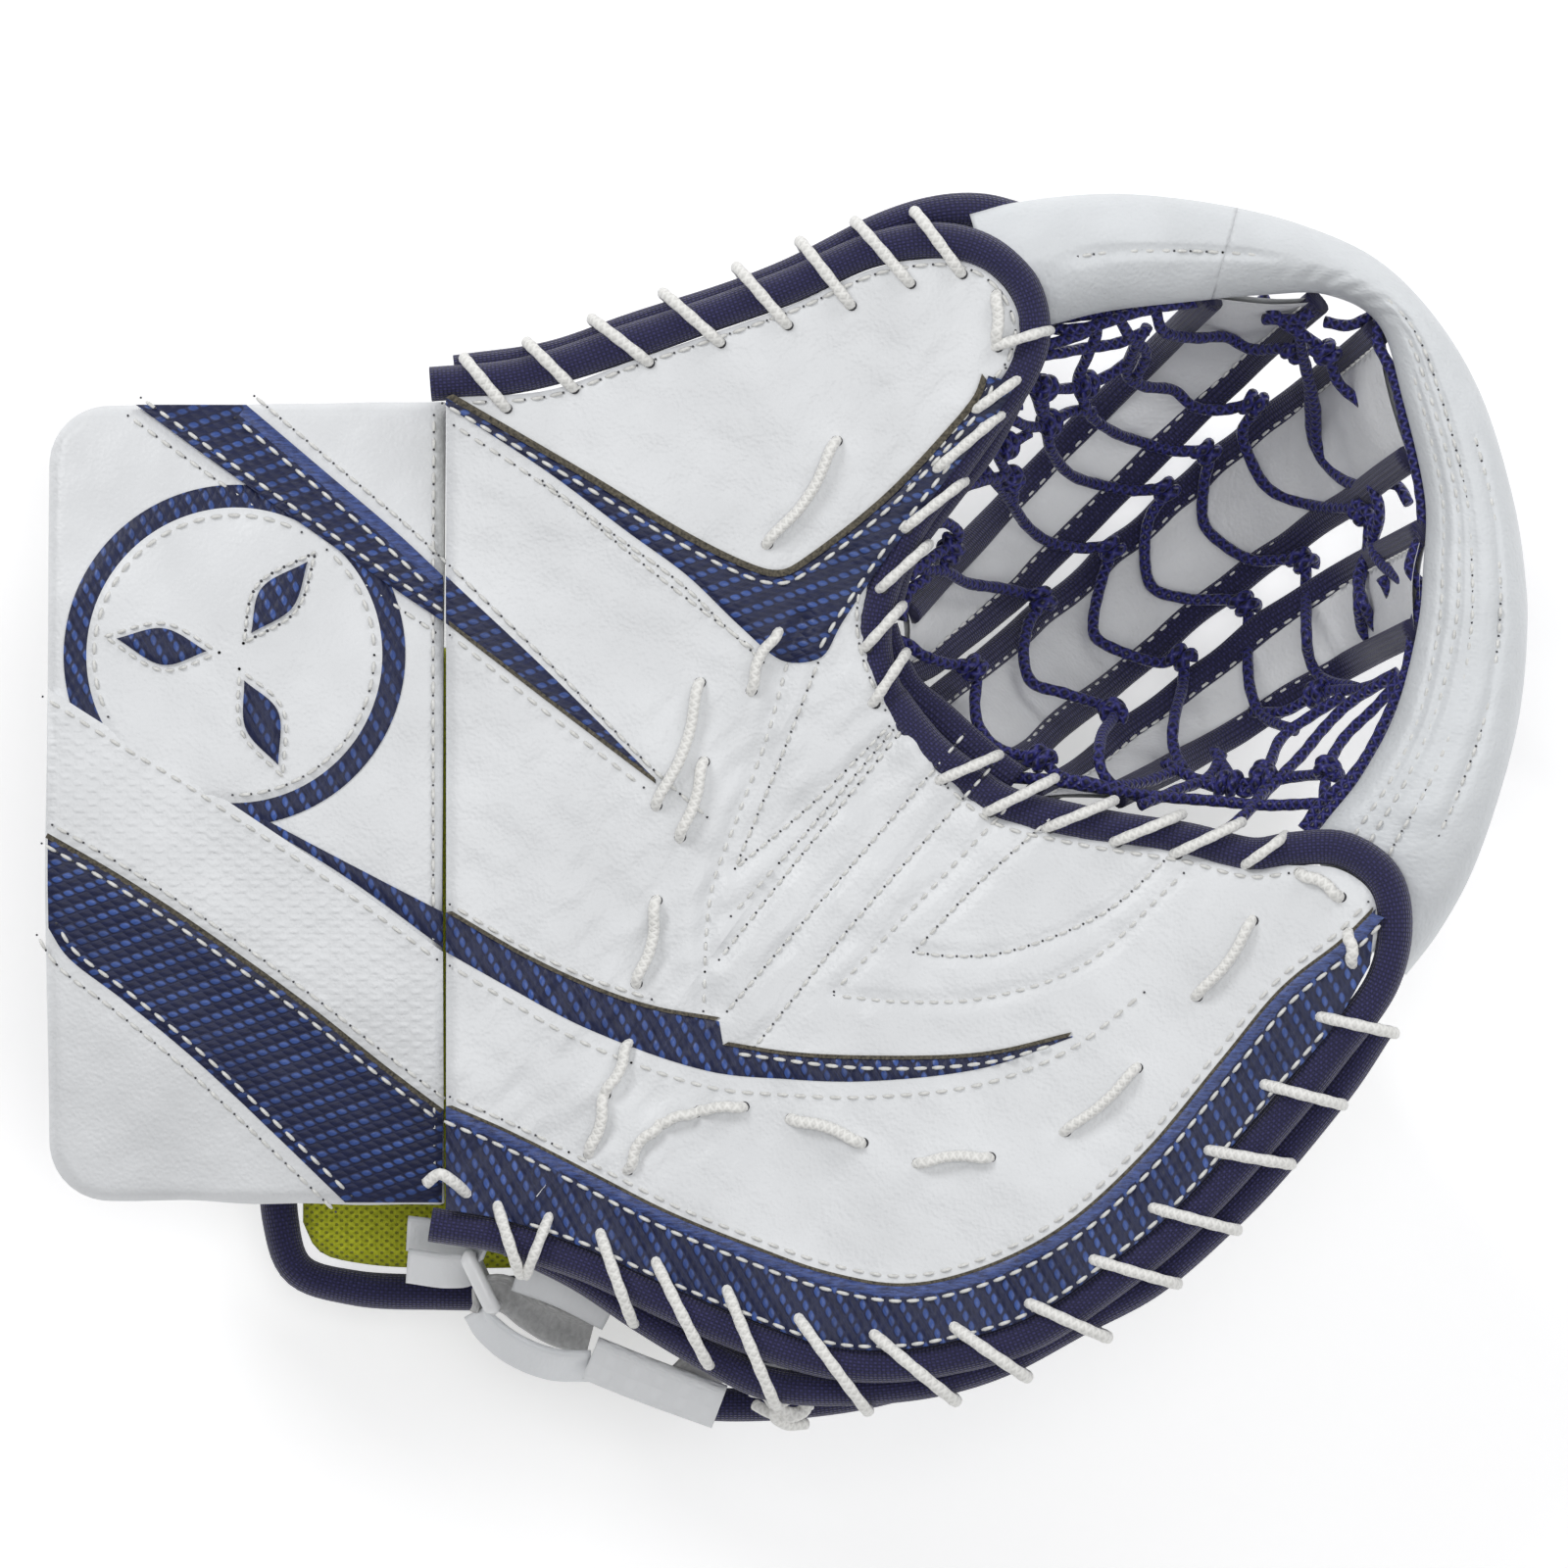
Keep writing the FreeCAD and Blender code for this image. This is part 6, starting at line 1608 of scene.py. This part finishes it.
def studio():
    p = Paint("pale_floor", rough=0.9)
    p.color((0.93, 0.93, 0.935, 1))
    p.b.inputs["Emission Color"].default_value = (1, 1, 1, 1)
    p.b.inputs["Emission Strength"].default_value = 0.35
    floor = obj_from("floor", [(-FLOOR, -FLOOR, 0), (FLOOR, -FLOOR, 0), (FLOOR, FLOOR, 0),
        (-FLOOR, FLOOR, 0)], [[0, 1, 2, 3]], np.array([(-FLOOR, -FLOOR), (FLOOR, -FLOOR), (FLOOR, FLOOR),
        (-FLOOR, FLOOR)]), p.m)
    for name, at, size, power in (("key", (-1.2, 1.3, 1.5), 0.8, 17), ("fill", (1.3, -0.9, 1.5), 1.4, 6),
        ("rear", (0.9, 1.4, 0.9), 0.9, 6), ("top", (0.1, 0, 2.3), 1.0, 11)):
        lamp = bpy.data.lights.new(name, "AREA")
        lamp.shape = "SQUARE"
        lamp.size = size
        lamp.energy = power
        o = bpy.data.objects.new(name, lamp)
        o.location = at
        o.rotation_euler = (Vector((0, 0, 0.1)) - Vector(at)).to_track_quat("-Z", "Y").to_euler()
        bpy.context.scene.collection.objects.link(o)
    w = bpy.data.worlds.new("air")
    w.use_nodes = True
    w.node_tree.nodes["Background"].inputs[0].default_value = (1, 1, 1, 1)
    w.node_tree.nodes["Background"].inputs[1].default_value = 0.34
    bpy.context.scene.world = w
    cam = bpy.data.cameras.new("camera")
    cam.sensor_width = 36
    cam.lens = cam.sensor_width * FAR / SEEN
    cam.clip_end = 20
    o = bpy.data.objects.new("camera", cam)
    o.location = (-0.0006, 0.0074, GLOVE_TOP + FAR)
    bpy.context.scene.collection.objects.link(o)
    bpy.context.scene.camera = o
    bpy.context.scene.view_settings.view_transform = "Standard"


studio()


# ---------- the pieces are joined, and the cuff and back pieces given to their bodies ---
SHOWN_BY = {"palm_and_thumb_leather": ["thumb_face_leather"], "finger_leather": ["finger_face_leather"],
    "thumb_foam": ["thumb_face_foam"], "finger_foam": ["finger_face_foam"],
    "palm_lining": ["palm_liner", "thumb_plastic_insert"], "finger_lining": ["finger_liner",
    "finger_plastic_insert"], "thumb_roll": ["thumb_binding"], "thumb_rear_roll": ["thumb_back_binding"],
    "finger_roll": ["finger_binding"], "finger_rear_roll": ["finger_back_binding"],
    "thumb_white_lace": ["thumb_lace", "heel_lace"], "finger_white_lace": ["finger_lace",
    "pocket_edge_lace", "finger_face_lace", "lace_knot"], "palm_v_panel": ["thumb_v_panel"],
    "heel_panel_upper": ["palm_wedges"], "palm_crescent_panel_b": ["finger_crescent"],
    "edge_panel_b": ["finger_edge_panel"], "rim_thumb_side": ["rim_thumb", "rim_core_thumb"],
    "rim_finger_side": ["rim_apex", "rim_core_apex", "rim_finger", "rim_core_finger"],
    "pocket_leather_1": ["pocket_strap_1"], "pocket_leather_2": ["pocket_strap_2"],
    "pocket_leather_3": ["pocket_strap_3"], "pocket_binding_1_upper": ["pocket_strap_bindings"],
    "waxed_lace_finger_side": ["pocket_lace", "side_nets"], "pocket_foot_binding": ["crotch_binding"],
    "cuff_leather": ["cuff_cover"], "cuff_padding": ["cuff_foam", "cuff_plastic_insert"],
    "cuff_lining": ["cuff_liner"], "cuff_wall_finger": ["cuff_pinky_wall"],
    "cuff_wall_thumb": ["cuff_thumb_wall"], "cuff_lower_stripe": ["cuff_stripes"],
    "emblem_ring": ["cuff_emblem"], "back_hand_padding": ["back_hand_pad"],
    "back_hand_lining": ["back_hand_liner"], "back_roll": ["back_hand_binding"],
    "finger_back_padding": ["finger_back_pad"], "finger_back_lining": ["finger_back_liner"],
    "finger_low_roll": ["finger_back_roll"], "finger_side_wall": ["finger_side_gusset"],
    "finger_web_1": ["finger_dividers"], "thumb_back_padding": ["thumb_back_pad"],
    "thumb_inner_wall": ["thumb_side_web"], "hand_strap": ["hand_stay"], "ring_fold": ["ring_tab"],
    "side_fold": ["side_tab"], "strap_end": ["strap_tail"], "wrist_strap_length": ["wrist_strap"],
    "plastic_loop": ["strap_ring"]}


def finish_all():
    for sign, tag in ((1, "thumb"), (-1, "finger")):
        group = A_SIDE if sign > 0 else B_SIDE
        for store, label in ((SEWN, "stitching"), (HOLES, "needle_holes"), (WHIPS, "white_lace"),
            (PITS, "lace_hole_shade")):
            if any(store[sign]):
                group.append(join(f"{tag}_{label}", store[sign]))
    for o in A_SIDE:
        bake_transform(o)
    for o in B_SIDE:
        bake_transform(o)
    for body, objs in RIDE.items():
        for o in objs:
            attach(o, body)
    missing = []
    for name, nodes in SHOWN_BY.items():
        o = bpy.data.objects.get(name) or bpy.data.objects.get(name + "_0")
        if o is None:
            missing.append(name)
            continue
        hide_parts(*nodes)
    if missing:
        raise RuntimeError("no piece named " + ", ".join(missing))


finish_all()
